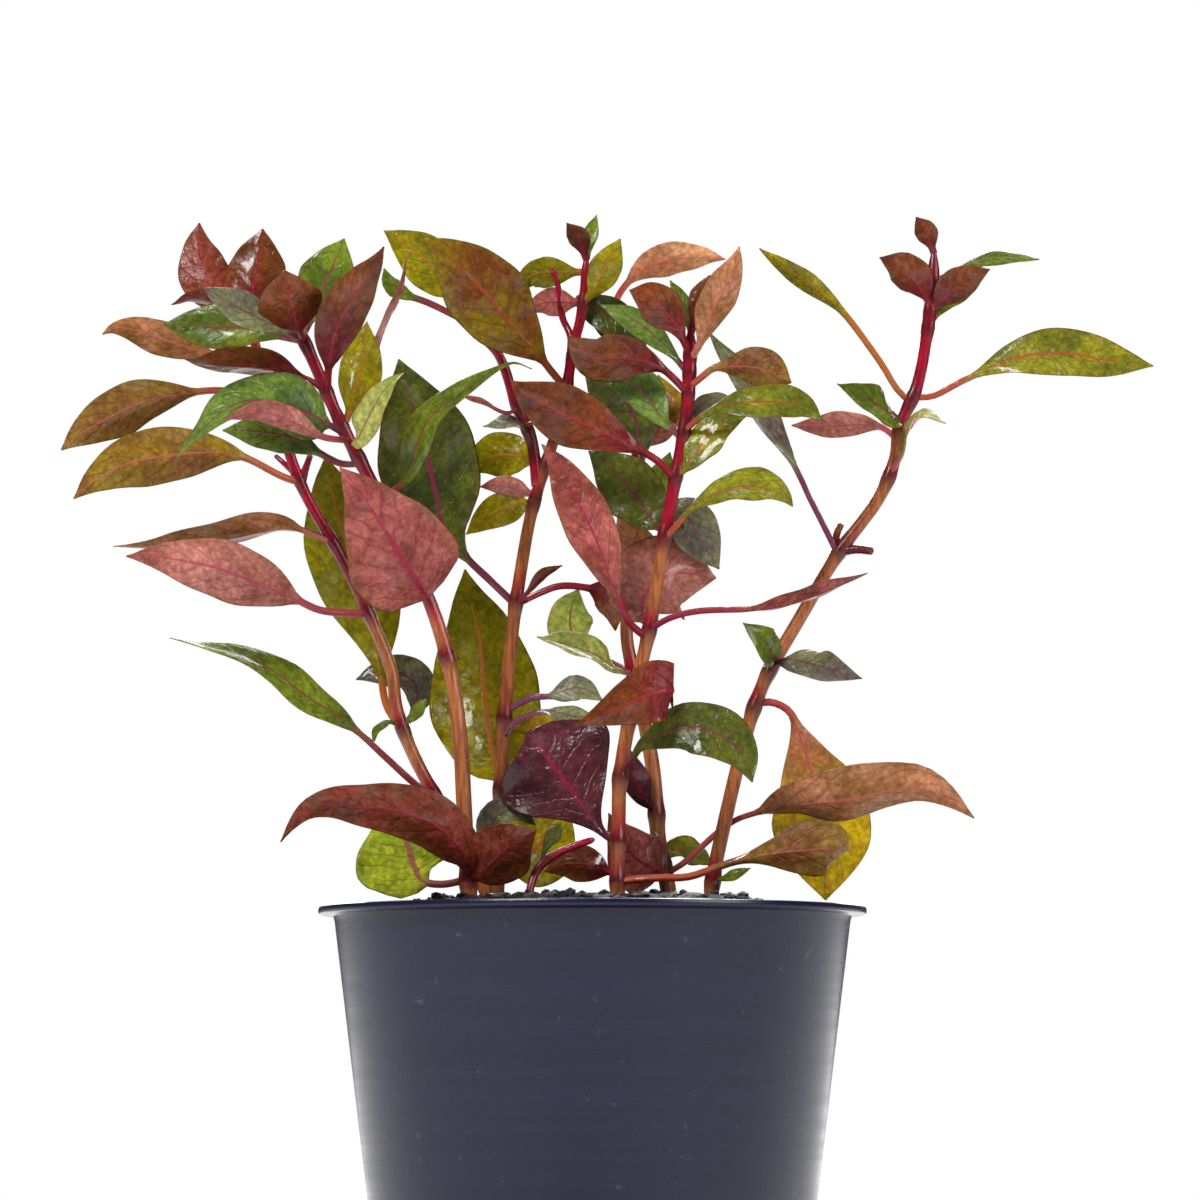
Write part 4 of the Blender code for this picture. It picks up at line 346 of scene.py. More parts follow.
# Small leaves, in the same form
smallLeaves = [
    ("a", "green", "brownRed", 5.4, 180, 178, 10, 0.16, 0.5, [
        (-34.6, 109.2, 4.5), (-37, 110.8, 7), (-38.9, 113, 9), (-39.7, 116, 10), (-39.6, 118.6, 10.4)]),
    ("a", "green", "brown", 6, 180, 180, 8, 0.12, 0.5, [
        (-34.5, 109, 4.5), (-34.2, 111.5, 6.5), (-33.7, 114.5, 7.8), (-33.2, 118, 8.4)]),
    ("b", "wetGreen", "mauve", 3.8, 18, 6, 8, 0.3, 0.5, [
        (-23.3, 94.4, -7), (-25.4, 94.3, -6), (-28, 95.6, -5.8), (-31, 97, -6.2), (-34.3, 97.5, -6.8),
        (-37.2, 97.6, -7.2)]),
    ("b", "greyGreen", "mauve", 4.2, 10, 40, 14, 0.14, 0.55, [
        (-29.4, 107, -7), (-31, 107.7, -8.2), (-34, 109.1, -9), (-37, 110.7, -9.6), (-39.2, 112.1, -10)]),
    ("b", "green", "olive", 5.6, 4, 0, 8, 0.16, 0.55, [
        (-29.3, 107, -7), (-28.2, 109.2, -4.8), (-27.3, 111.7, -3.6), (-26.1, 114.4, -3),
        (-25, 117, -2.8)]),
    ("b", "green", "olive", 4.4, 180, 178, 8, 0.16, 0.5, [
        (-25.1, 98, -7), (-23.8, 101.5, -4.4), (-23.1, 105, -3.6), (-22.7, 108.6, -3.2)]),
    ("c", "greyGreen", "purple", 2.8, 45, 35, 12, 0.5, 0.5, [
        (-8.9, 67, 0), (-7.8, 68.2, -2), (-5.8, 69.1, -3), (-4.2, 69.2, -3.5), (-2, 68.7, -4),
        (0.8, 68.2, -4.4)]),
    ("c", "green", "brown", 3.2, 150, 155, 10, 0.58, 0.42, [
        (-7.6, 80.4, 0), (-5.3, 81.2, -0.4), (-3.3, 81.9, -0.6), (-1, 81.8, -0.7), (0.9, 81.2, -0.7),
        (2, 79.5, -0.6), (2.3, 77.4, -0.5)]),
    ("c", "green", "yellow", 3.6, 160, 170, 14, 0.12, 0.5, [
        (-5.8, 90.2, 0), (-7.2, 90.3, 2.6), (-9, 89.6, 4.2), (-10.6, 88.8, 5.2), (-12.7, 87.1, 6)]),
    ("f", "greyGreen", "mauve", 4.8, 0, 4, 8, 0.16, 0.5, [
        (7.3, 87, -9), (8.3, 89, -6.9), (9.5, 88.9, -5.4), (10.9, 86.5, -4.4), (12.7, 83.6, -3.8)]),
    ("f", "oliveGreen", "goldBrown", 4, 20, 30, 10, 0.1, 0.5, [
        (8.4, 93, -9), (9.8, 94.4, -9.9), (11.1, 96.2, -9.8), (12.8, 98, -9.6), (15.4, 99, -9.4)]),
    ("f", "wetGreen", "mauve", 2.9, 20, 16, 10, 0.16, 0.55, [
        (9.7, 103.2, -9), (8.3, 105, -7.4), (6.3, 107, -6.8), (3.8, 108.9, -6.4), (0.8, 110.3, -6)]),
    ("g", "paleGreen", "peach", 3.7, 150, 152, 10, 0.4, 0.45, [
        (2.7, 105.6, 4), (2, 108.5, 4.6), (2.6, 111.2, 4.8), (4.8, 113.7, 4.4), (7.8, 114.9, 4),
        (11.3, 115.2, 3.4), (13.4, 114.9, 3)]),
    ("h", "green", "mauve", 5, 34, 40, 12, 0.1, 0.38, [
        (31, 98.6, -3), (29.6, 99.5, -6), (27.4, 100.8, -8), (24.6, 102.3, -9.5)]),
    ("a", "green", "brownRed", 3.4, 120, 110, 16, 0.1, 0.5, [
        (-34.5, 109, 4.5), (-37.5, 110.3, 2.6), (-40, 111, 1.6), (-42.4, 110.3, 1.4)]),
    ("a", "green", "olive", 1.6, 40, 60, 10, 0.2, 0.5, [
        (-19.3, 67.8, 4.5), (-20.4, 68.2, 3.2), (-21.6, 67.3, 2.4), (-22, 65.9, 2.2)]),
    ("a", "green", "olive", 1.6, 30, 20, 10, 0.2, 0.5, [
        (-18.9, 67.6, 4.5), (-17.9, 68.9, 3.6), (-16.6, 70.6, 3.2)]),
    ("b", "green", "pink", 2.7, 158, 160, 12, 0.34, 0.5, [
        (-24.9, 96.3, -7), (-27.3, 97, -12.4), (-30.3, 98.6, -15.5), (-33.3, 99.5, -16.7),
        (-37, 98.8, -17)]),
    ("b", "green", "brown", 2.2, 20, 20, 10, 0.1, 0.5, [
        (-30, 108.2, -7), (-30.8, 110.6, -7.4), (-32.2, 112.4, -7.6)]),
    ("b", "paleGreen", "pink", 2.6, 100, 110, 12, 0.2, 0.5, [
        (-25.6, 98.6, -7), (-24.6, 99.4, -3.6), (-22.3, 103.2, -1.2), (-21.4, 106.8, -0.6),
        (-20.3, 109.5, -2.2), (-19.2, 112, -3), (-18.7, 115.6, -3.4)]),
    ("c", "green", "brown", 1.2, 150, 150, 10, 0.3, 0.5, [
        (-7.5, 80.2, 0), (-6.2, 81.6, -2), (-5, 83.1, -2.6), (-3, 84, -3)]),
    ("c", "greyGreen", "mauve", 3, 30, 24, 10, 0.46, 0.45, [
        (-8.6, 68.9, 0), (-6.3, 70.6, -0.6), (-4, 70.9, -1), (-1.3, 71.6, -1.4), (1, 70.4, -1.6)]),
    ("c", "green", "olive", 4.8, 176, 174, 10, 0.16, 0.5, [
        (-5, 93.8, 0), (-7, 94.9, 2.4), (-9.4, 95.1, 3.4), (-11.3, 94.4, 4.2), (-12.5, 93, 4.8)]),
    ("e", "greyGreen", "mauve", 3.2, 44, 56, 16, 0.1, 0.4, [
        (-6.5, 97.6, 0), (-7.8, 98.2, -1.6), (-9.3, 98.1, -2.6), (-11, 98, -3)]),
    ("e", "paleGreen", "mauve", 2.4, 50, 40, 16, 0.1, 0.4, [
        (-6.6, 97.8, 0), (-5.6, 98.3, -2.2), (-4.5, 97.2, -3.4)]),
    ("e", "green", "pink", 1.2, 120, 120, 10, 0.5, 0.5, [
        (-7.6, 99.9, 0), (-8.8, 99.4, -2.4), (-11, 100.4, -4), (-13.4, 101.2, -5)]),
    ("e", "green", "olive", 2, 20, 20, 10, 0.56, 0.5, [
        (-12.4, 108.5, 0), (-16.3, 110.4, -0.6), (-19, 111.4, -0.8), (-20.4, 112.4, -1), (-21, 114, -1.2)]),
    ("c", "green", "mauve", 3, 174, 170, 10, 0.1, 0.5, [
        (-3.1, 110.6, 2), (-4.8, 110.5, 3), (-6.6, 109.4, 3.8)]),
    ("c", "green", "olive", 3.2, 176, 176, 10, 0.1, 0.5, [
        (-3.9, 113.4, 2), (-5.8, 113.4, 3.4), (-7.6, 111.4, 4.6)]),
    ("c", "green", "olive", 3.3, 178, 178, 10, 0.1, 0.5, [
        (-0.9, 110.2, 0), (0.2, 111.9, -1.2), (1.3, 114, -2), (2.8, 117, -2.6)]),
    ("c", "green", "brown", 2.4, 160, 150, 10, 0.1, 0.5, [
        (-0.6, 115, 0), (-1.4, 117, -1), (-2.6, 118.6, -1.8)]),
    ("c", "green", "olive", 2, 20, 40, 10, 0.1, 0.5, [
        (-0.6, 115, 0), (-0.2, 117.4, 0.8), (0.4, 119.4, 1.2)]),
    ("f", "green", "brown", 2.5, 176, 176, 10, 0.1, 0.55, [
        (9.9, 107.4, -9), (10.6, 110, -9), (11.8, 113.3, -8.8)]),
    ("f", "green", "olive", 1.9, 20, 20, 10, 0.1, 0.5, [
        (9.9, 107.6, -9), (9.1, 110.2, -8.4), (7.8, 112.8, -8)]),
    ("f", "green", "goldBrown", 2.6, 178, 178, 10, 0.1, 0.5, [
        (9.2, 97.4, -9), (8.5, 99.4, -6.4), (7.5, 101.4, -5.2), (6.6, 103.2, -4.8)]),
    ("f", "greyGreen", "mauve", 2.2, 30, 30, 10, 0.1, 0.5, [
        (9.4, 98, -9), (10.8, 99.8, -7.6), (12.3, 100.8, -7), (14, 101, -6.8)]),
    ("g", "green", "purple", 2.8, 176, 176, 10, 0.1, 0.5, [
        (6.2, 59, 4), (5.2, 60.6, 2.4), (4.4, 62.6, 1.6), (3.8, 65.4, 1.2)]),
    ("g", "oliveGreen", "olive", 3.4, 30, 30, 10, 0.1, 0.5, [
        (7, 54.6, 4), (8.5, 55.4, 6), (10.3, 55, 6.8), (12, 53.9, 7.2)]),
    ("g", "green", "brownPink", 4.4, 176, 176, 10, 0.1, 0.5, [
        (3.7, 81.6, 4), (4.8, 83.5, 1.5), (4.5, 85.5, 0), (3.5, 87.3, -1), (2.5, 89, -1.6)]),
    ("g", "green", "mauve", 3.3, 0, 0, 10, 0.1, 0.5, [
        (4.4, 89, 4), (6, 91, 2), (7, 93, 0.8), (7.8, 95.4, 0.2)]),
    ("g", "green", "pink", 3.1, 178, 178, 10, 0.1, 0.5, [
        (4.5, 95.8, 4), (6.5, 97.4, 3), (7.4, 99.4, 2.4), (7.9, 101.6, 2.2)]),
    ("g", "darkGreen", "mauve", 4.2, 14, 14, 10, 0.1, 0.5, [
        (3.4, 102.6, 4), (4.2, 105.4, 3.4), (2.6, 108, 3.2), (0.2, 110.2, 3.6), (-1.6, 111.2, 4)]),
    ("h", "green", "brown", 4, 30, 24, 10, 0.1, 0.4, [
        (17.6, 73.4, -3), (17.9, 74.8, -5), (17.3, 76.2, -7.4), (15.1, 78.2, -9)]),
    ("h", "green", "pink", 3, 150, 150, 10, 0.26, 0.5, [
        (30.5, 96.8, -3), (29.4, 97.7, -0.6), (28, 98.2, 0.8), (25.8, 98.2, 1.8), (23, 98, 2.6),
        (20, 98.1, 3.2)]),
    ("h", "paleGreen", "pink", 3.4, 70, 70, 14, 0.24, 0.5, [
        (29.6, 93, -3), (31, 95.2, -4.6), (31.8, 97.6, -5.8), (33.2, 99, -7.4), (35.5, 98.3, -8.8)]),
    ("h", "green", "brown", 3.6, 165, 160, 12, 0.1, 0.45, [
        (33.9, 109.4, -3), (35.8, 111.5, -4.4), (37.8, 113, -5.4), (40, 113.9, -6.4)]),
    ("h", "green", "olive", 3, 20, 20, 10, 0.1, 0.5, [
        (33.8, 108.6, -3), (35.8, 110.9, -1.2), (37.8, 112.5, 0), (39.7, 113.8, 0.6)]),
    ("h", "green", "mauve", 2.6, 50, 50, 12, 0.2, 0.5, [
        (34.2, 112.6, -3), (37.8, 114.2, -3.8), (41, 114.9, -4.4), (45, 114.9, -4.8)]),
    ("h", "green", "brown", 2.4, 160, 160, 10, 0.1, 0.5, [
        (34.4, 115.6, -3), (33.6, 117.6, -3.8), (32.6, 119.2, -4.4)]),
    ("h", "green", "olive", 1.2, 20, 20, 10, 0.2, 0.5, [
        (12, 52.4, -3), (13.8, 52.8, -4.4), (15.8, 53.6, -5)]),
    ("a", "greyGreen", "mauve", 4.6, 16, 24, 10, 0.2, 0.5, [
        (-18.9, 67.7, 4.5), (-17.8, 69.4, 7.5), (-17.8, 71.9, 10.3), (-19.6, 73.2, 11.6), (-21.9, 73.1, 12),
        (-23.7, 72.5, 12.2)]),
    ("c", "greyGreen", "brownOlive", 3.4, 0, 10, 10, 0.2, 0.5, [
        (-9.6, 52.8, 0), (-10.3, 55.6, -2.6), (-9.7, 58.6, -3.6), (-7.7, 59.4, -3.8), (-5.7, 57.9, -4)]),
    ("c", "yellow", "yellow", 2.8, 176, 176, 10, 0.2, 0.5, [
        (-8.9, 67.4, 0), (-7.2, 67.6, 2.4), (-4.8, 68.1, 3.2), (-2.4, 68, 3.4), (-0.6, 67, 3.6)]),
    ("g", "paleGreen", "yellowGreen", 4.7, 6, 0, 8, 0.44, 0.5, [
        (4.1, 73.2, 4), (2.2, 74, 5.8), (-0.2, 75.2, 6.6), (-2, 77, 6.8), (-2.2, 79.4, 6.8),
        (-1.4, 81.6, 6.6)]),
    ("f", "green", "brown", 3.8, 176, 172, 10, 0.16, 0.5, [
        (2.5, 53, -9), (1.2, 53.4, -7.2), (-0.8, 54, -6.2), (-2.8, 54, -5.8), (-4.8, 53.3, -5.6)]),
    ("c", "green", "pink", 2.4, 150, 150, 10, 0.1, 0.5, [
        (-5.9, 90.9, 0), (-7.4, 91.7, 1.6), (-9.4, 92, 2.2), (-11.3, 91.9, 2.6)]),
    ("stalk", "darkGreen", "purple", 1.6, 0, 0, 10, 0.2, 0.62, [
        (-5, 54, -9.8), (-4.7, 55.6, -9.9), (-3.9, 57, -10), (-3.1, 58.2, -10)]),
]

# Colours as they look on screen, 0 to 255. Amounts are 0 to 1.
looks = {
    "green": {"base": (108, 128, 34), "second": (74, 94, 24), "vein": (98, 60, 42), "veinAmount": 0.26,
              "midrib": (130, 50, 60), "margin": (122, 88, 42), "marginAmount": 0.35, "glow": 0.32},
    "wetGreen": {"base": (104, 130, 52), "second": (62, 84, 34), "vein": (84, 56, 54), "veinAmount": 0.3,
                 "midrib": (120, 46, 66), "margin": (116, 84, 62), "marginAmount": 0.25, "glow": 0.26},
    "paleGreen": {"base": (166, 176, 92), "second": (122, 142, 60), "vein": (150, 96, 84), "veinAmount": 0.22,
                  "midrib": (150, 70, 76), "margin": (176, 118, 104), "marginAmount": 0.45, "glow": 0.36},
    "greyGreen": {"base": (118, 124, 82), "second": (88, 80, 72), "vein": (84, 48, 64), "veinAmount": 0.38,
                  "midrib": (110, 44, 74), "margin": (124, 92, 84), "marginAmount": 0.35, "glow": 0.22},
    "darkGreen": {"base": (84, 90, 26), "second": (46, 56, 22), "vein": (74, 40, 34), "veinAmount": 0.3,
                  "midrib": (106, 40, 56), "margin": (96, 76, 32), "marginAmount": 0.35, "glow": 0.22},
    "oliveGreen": {"base": (134, 136, 34), "second": (92, 102, 28), "vein": (112, 66, 36), "veinAmount": 0.3,
                   "midrib": (160, 70, 52), "margin": (120, 72, 38), "marginAmount": 0.4, "glow": 0.36},
    "yellowGreen": {"base": (176, 182, 48), "second": (134, 150, 34), "vein": (150, 92, 82),
                    "veinAmount": 0.3, "midrib": (150, 84, 84), "margin": (150, 132, 60),
                    "marginAmount": 0.3, "glow": 0.42},
    "mauve": {"base": (168, 90, 82), "second": (120, 56, 46), "vein": (112, 26, 48), "veinAmount": 0.45,
              "midrib": (140, 34, 58), "margin": (124, 84, 46), "marginAmount": 0.45, "glow": 0.3},
    "pink": {"base": (192, 124, 112), "second": (148, 82, 70), "vein": (150, 60, 74), "veinAmount": 0.38,
             "midrib": (170, 70, 86), "margin": (152, 100, 62), "marginAmount": 0.4, "glow": 0.35},
    "brownPink": {"base": (186, 124, 90), "second": (140, 92, 42), "vein": (126, 46, 50), "veinAmount": 0.38,
                  "midrib": (180, 94, 84), "margin": (120, 90, 48), "marginAmount": 0.4, "glow": 0.32},
    "brown": {"base": (118, 62, 28), "second": (84, 42, 20), "vein": (80, 18, 26), "veinAmount": 0.41,
              "midrib": (132, 28, 44), "margin": (98, 66, 24), "marginAmount": 0.45, "glow": 0.3,
              "shoulder": (98, 16, 30)},
    "brownRed": {"base": (126, 54, 40), "second": (88, 44, 18), "vein": (72, 12, 24), "veinAmount": 0.38,
                 "midrib": (126, 30, 46), "margin": (104, 60, 30), "marginAmount": 0.45, "glow": 0.25},
    "rust": {"base": (122, 62, 26), "second": (90, 42, 20), "vein": (90, 18, 28), "veinAmount": 0.41,
             "midrib": (146, 34, 46), "margin": (114, 74, 28), "marginAmount": 0.4, "glow": 0.32,
             "shoulder": (118, 22, 34)},
    "brownOlive": {"base": (142, 108, 42), "second": (120, 72, 40), "vein": (100, 36, 34), "veinAmount": 0.38,
                   "midrib": (162, 76, 54), "margin": (104, 90, 28), "marginAmount": 0.45, "glow": 0.34},
    "goldBrown": {"base": (158, 126, 34), "second": (130, 84, 40), "vein": (108, 46, 34), "veinAmount": 0.34,
                  "midrib": (184, 98, 70), "margin": (126, 104, 30), "marginAmount": 0.35, "glow": 0.38},
    "olive": {"base": (160, 144, 16), "second": (120, 110, 14), "vein": (134, 84, 20), "veinAmount": 0.26,
              "midrib": (176, 104, 48), "margin": (118, 116, 24), "marginAmount": 0.3, "glow": 0.46},
    "oliveBrown": {"base": (130, 104, 8), "second": (112, 58, 14), "vein": (100, 36, 24), "veinAmount": 0.38,
                   "midrib": (146, 62, 34), "margin": (112, 102, 24), "marginAmount": 0.4, "glow": 0.4},
    "yellow": {"base": (190, 168, 22), "second": (156, 136, 18), "vein": (156, 92, 34), "veinAmount": 0.26,
               "midrib": (184, 104, 60), "margin": (150, 132, 40), "marginAmount": 0.3, "glow": 0.48},
    "yellowPink": {"base": (204, 168, 26), "second": (178, 138, 22), "vein": (176, 92, 52), "veinAmount": 0.3,
                   "midrib": (190, 86, 86), "margin": (156, 130, 36), "marginAmount": 0.35, "glow": 0.48,
                   "shoulder": (184, 108, 88)},
    "purple": {"base": (84, 36, 44), "second": (50, 18, 26), "vein": (92, 24, 44), "veinAmount": 0.22,
               "midrib": (122, 22, 56), "margin": (72, 38, 32), "marginAmount": 0.35, "glow": 0.2},
    "peach": {"base": (214, 160, 126), "second": (190, 122, 92), "vein": (176, 96, 82), "veinAmount": 0.3,
              "midrib": (196, 96, 86), "margin": (190, 130, 92), "marginAmount": 0.3, "glow": 0.45},
}

stemLook = {
    "low": (158, 92, 50),
    "lowSecond": (104, 56, 30),
    "red": (86, 4, 16),
    "bright": (132, 12, 36),
    "node": (64, 14, 18),
}

# Heights of each stem's joints, and the heights where it starts to turn red and is wholly red
stemMarks = {
    "a": {"nodes": (61.0, 67.5, 79.2, 86.2, 92.6, 100.3, 104.4), "redFrom": 72.0, "redTo": 88.0},
    "b": {"nodes": (52.3, 74.6, 83.0, 90.5, 94.8, 98.0, 101.6, 106.4), "redFrom": 74.0, "redTo": 84.0},
    "c": {"nodes": (53.5, 61.5, 68.6, 80.2, 90.2, 94.0, 102.0, 105.3, 110.4), "redFrom": 94.0, "redTo": 99.0},
    "e": {"nodes": (97.6, 99.9, 108.5), "redFrom": 90.0, "redTo": 95.0},
    "f": {"nodes": (52.3, 56.3, 62.6, 68.6, 77.4, 87.0, 93.0, 97.4, 101.5, 103.4, 105.2),
          "redFrom": 82.0, "redTo": 88.0},
    "g": {"nodes": (54.0, 59.0, 73.2, 81.8, 89.0, 93.6, 96.0, 102.6), "redFrom": 88.0, "redTo": 98.0},
    "h": {"nodes": (52.3, 69.7, 73.4, 85.4, 92.8, 97.6, 100.8, 107.9, 109.6, 112.6),
          "redFrom": 96.0, "redTo": 100.5},
    "stalk": {"nodes": (54.2,), "redFrom": 20.0, "redTo": 21.0},
}


def screenColour(rgb, alpha=1.0):
    linear = []
    for value in rgb:
        share = value / 255
        linear.append(share / 12.92 if share <= 0.04045 else ((share + 0.055) / 1.055) ** 2.4)
    return (*linear, alpha)


def front(x, z, depth):
    grow = (camera["distance"] + depth) / camera["distance"]
    side, eye = camera["side"], camera["height"]
    return Vector((side + (x - side) * grow, depth, eye + (z - eye) * grow))


def smoothLine(places, steps=8):
    ends = [2 * places[0] - places[1]] + places + [2 * places[-1] - places[-2]]
    line = []
    for i in range(1, len(ends) - 2):
        a, b, c, d = ends[i - 1:i + 3]
        for k in range(steps):
            t = k / steps
            line.append(0.5 * (2 * b + (c - a) * t + (2 * a - 5 * b + 4 * c - d) * t * t
                               + (3 * b - a - 3 * c + d) * t ** 3))
    return line + [places[-1]]


def runLengths(line):
    run = [0.0]
    for a, b in zip(line, line[1:]):
        run.append(run[-1] + (b - a).length)
    return run


def atShare(line, run, share):
    want = share * run[-1]
    i = 0
    while i < len(line) - 2 and run[i + 1] < want:
        i += 1
    part = (want - run[i]) / max(run[i + 1] - run[i], 1e-9)
    before, after = line[max(i - 1, 0)], line[min(i + 2, len(line) - 1)]
    return line[i] + (line[i + 1] - line[i]) * part, (after - before).normalized()


def smoothStep(value, low, high):
    share = max(0.0, min(1.0, (value - low) / (high - low)))
    return share * share * (3 - 2 * share)


# Materials


def nodeGroup(name, inputs, outputs):
    tree = bpy.data.node_groups.new(name, "ShaderNodeTree")
    for label, kind, value in inputs:
        socket = tree.interface.new_socket(label, in_out="INPUT", socket_type=kind)
        if value is not None:
            socket.default_value = value
    for label, kind in outputs:
        tree.interface.new_socket(label, in_out="OUTPUT", socket_type=kind)
    return tree, tree.nodes.new("NodeGroupInput"), tree.nodes.new("NodeGroupOutput")


def wire(tree, source, target):
    if isinstance(source, (int, float, tuple)):
        target.default_value = source
    elif source is not None:
        tree.links.new(source, target)


def calc(tree, operation, a, b=None, c=None, clamp=False):
    node = tree.nodes.new("ShaderNodeMath")
    node.operation = operation
    node.use_clamp = clamp
    for value, socket in zip((a, b, c), node.inputs):
        wire(tree, value, socket)
    return node.outputs[0]


def ramp(tree, value, low, high, start=0.0, end=1.0):
    node = tree.nodes.new("ShaderNodeMapRange")
    node.interpolation_type = "SMOOTHSTEP"
    for given, label in ((value, "Value"), (low, "From Min"), (high, "From Max"),
                         (start, "To Min"), (end, "To Max")):
        wire(tree, given, node.inputs[label])
    return node.outputs[0]


def blendColour(tree, share, a, b, mode="MIX"):
    node = tree.nodes.new("ShaderNodeMix")
    node.data_type = "RGBA"
    node.blend_type = mode
    wire(tree, share, node.inputs["Factor"])
    wire(tree, a, node.inputs[6])
    wire(tree, b, node.inputs[7])
    return node.outputs[2]


def noise(tree, vector, scale, detail=3.0, rough=0.55):
    node = tree.nodes.new("ShaderNodeTexNoise")
    wire(tree, vector, node.inputs["Vector"])
    node.inputs["Scale"].default_value = scale
    node.inputs["Detail"].default_value = detail
    node.inputs["Roughness"].default_value = rough
    return node.outputs["Fac"]


def cells(tree, vector, scale, feature="DISTANCE_TO_EDGE"):
    node = tree.nodes.new("ShaderNodeTexVoronoi")
    node.feature = feature
    wire(tree, vector, node.inputs["Vector"])
    node.inputs["Scale"].default_value = scale
    return node.outputs["Distance"]


def chartPlace(tree, mapName):
    chart = tree.nodes.new("ShaderNodeUVMap")
    chart.uv_map = mapName
    split = tree.nodes.new("ShaderNodeSeparateXYZ")
    wire(tree, chart.outputs[0], split.inputs[0])
    return split.outputs[0], split.outputs[1]


def shaded(tree, colour, shade):
    tint = tree.nodes.new("ShaderNodeCombineColor")
    for socket in tint.inputs[:3]:
        wire(tree, shade, socket)
    return blendColour(tree, 1.0, colour, tint.outputs[0], "MULTIPLY")


def addBump(tree, shader, height, strength, distance):
    bump = tree.nodes.new("ShaderNodeBump")
    bump.inputs["Strength"].default_value = strength
    bump.inputs["Distance"].default_value = distance
    wire(tree, height, bump.inputs["Height"])
    wire(tree, bump.outputs[0], shader.inputs["Normal"])


def stretched(tree, place, scale):
    node = tree.nodes.new("ShaderNodeMapping")
    node.inputs["Scale"].default_value = scale
    wire(tree, place, node.inputs["Vector"])
    return node.outputs[0]


def makeVeinGroup():
    tree, given, result = nodeGroup(
        "leafVeins",
        [("Along", "NodeSocketFloat", 0.5), ("Across", "NodeSocketFloat", 0.0),
         ("Wander", "NodeSocketFloat", 0.5), ("Count", "NodeSocketFloat", 7.0),
         ("Sweep", "NodeSocketFloat", 0.28), ("Width", "NodeSocketFloat", 0.1)],
        [("Midrib", "NodeSocketFloat"), ("Veins", "NodeSocketFloat"), ("Edge", "NodeSocketFloat")])
    along, across = given.outputs["Along"], given.outputs["Across"]
    away = calc(tree, "ABSOLUTE", across)
    taper = calc(tree, "MULTIPLY_ADD", along, -0.05, 0.075)
    midrib = ramp(tree, calc(tree, "DIVIDE", away, taper), 0.6, 1.25, 1.0, 0.0)
    bend = calc(tree, "MULTIPLY", calc(tree, "POWER", away, 1.3), given.outputs["Sweep"])
    wander = calc(tree, "MULTIPLY_ADD", given.outputs["Wander"], 0.08, -0.04)
    side = calc(tree, "MULTIPLY", calc(tree, "SIGN", across), 0.03)
    place = calc(tree, "ADD", calc(tree, "SUBTRACT", along, bend), calc(tree, "ADD", wander, side))
    wave = calc(tree, "PINGPONG", calc(tree, "MULTIPLY", place, given.outputs["Count"]), 0.5)
    width = calc(tree, "MULTIPLY", given.outputs["Width"], calc(tree, "MULTIPLY_ADD", away, -0.6, 1.1))
    veins = ramp(tree, calc(tree, "DIVIDE", wave, width), 0.4, 1.5, 1.0, 0.0)
    veins = calc(tree, "MULTIPLY", veins, ramp(tree, away, 0.78, 0.97, 1.0, 0.0))
    edge = ramp(tree, away, 0.72, 1.0)
    wire(tree, midrib, result.inputs["Midrib"])
    wire(tree, veins, result.inputs["Veins"])
    wire(tree, edge, result.inputs["Edge"])
    return tree


def makeMottleGroup():
    tree, given, result = nodeGroup(
        "leafMottle", [("Vector", "NodeSocketVector", None)],
        [("Patches", "NodeSocketFloat"), ("Fine", "NodeSocketFloat"), ("Cells", "NodeSocketFloat"),
         ("Wet", "NodeSocketFloat")])
    vector = given.outputs["Vector"]
    wire(tree, ramp(tree, noise(tree, vector, 190.0, 4.0), 0.36, 0.66), result.inputs["Patches"])
    wire(tree, noise(tree, vector, 1500.0, 4.0, 0.6), result.inputs["Fine"])
    wire(tree, ramp(tree, cells(tree, vector, 1400.0), 0.02, 0.22), result.inputs["Cells"])
    wire(tree, ramp(tree, noise(tree, vector, 420.0, 3.0), 0.42, 0.6), result.inputs["Wet"])
    return tree


veinGroup = makeVeinGroup()
mottleGroup = makeMottleGroup()


def useGroup(tree, group, **values):
    node = tree.nodes.new("ShaderNodeGroup")
    node.node_tree = group
    for label, value in values.items():
        wire(tree, value, node.inputs[label])
    return node


def newMaterial(name):
    made = bpy.data.materials.new(name)
    made.use_nodes = True
    tree = made.node_tree
    return made, tree, tree.nodes["Principled BSDF"]


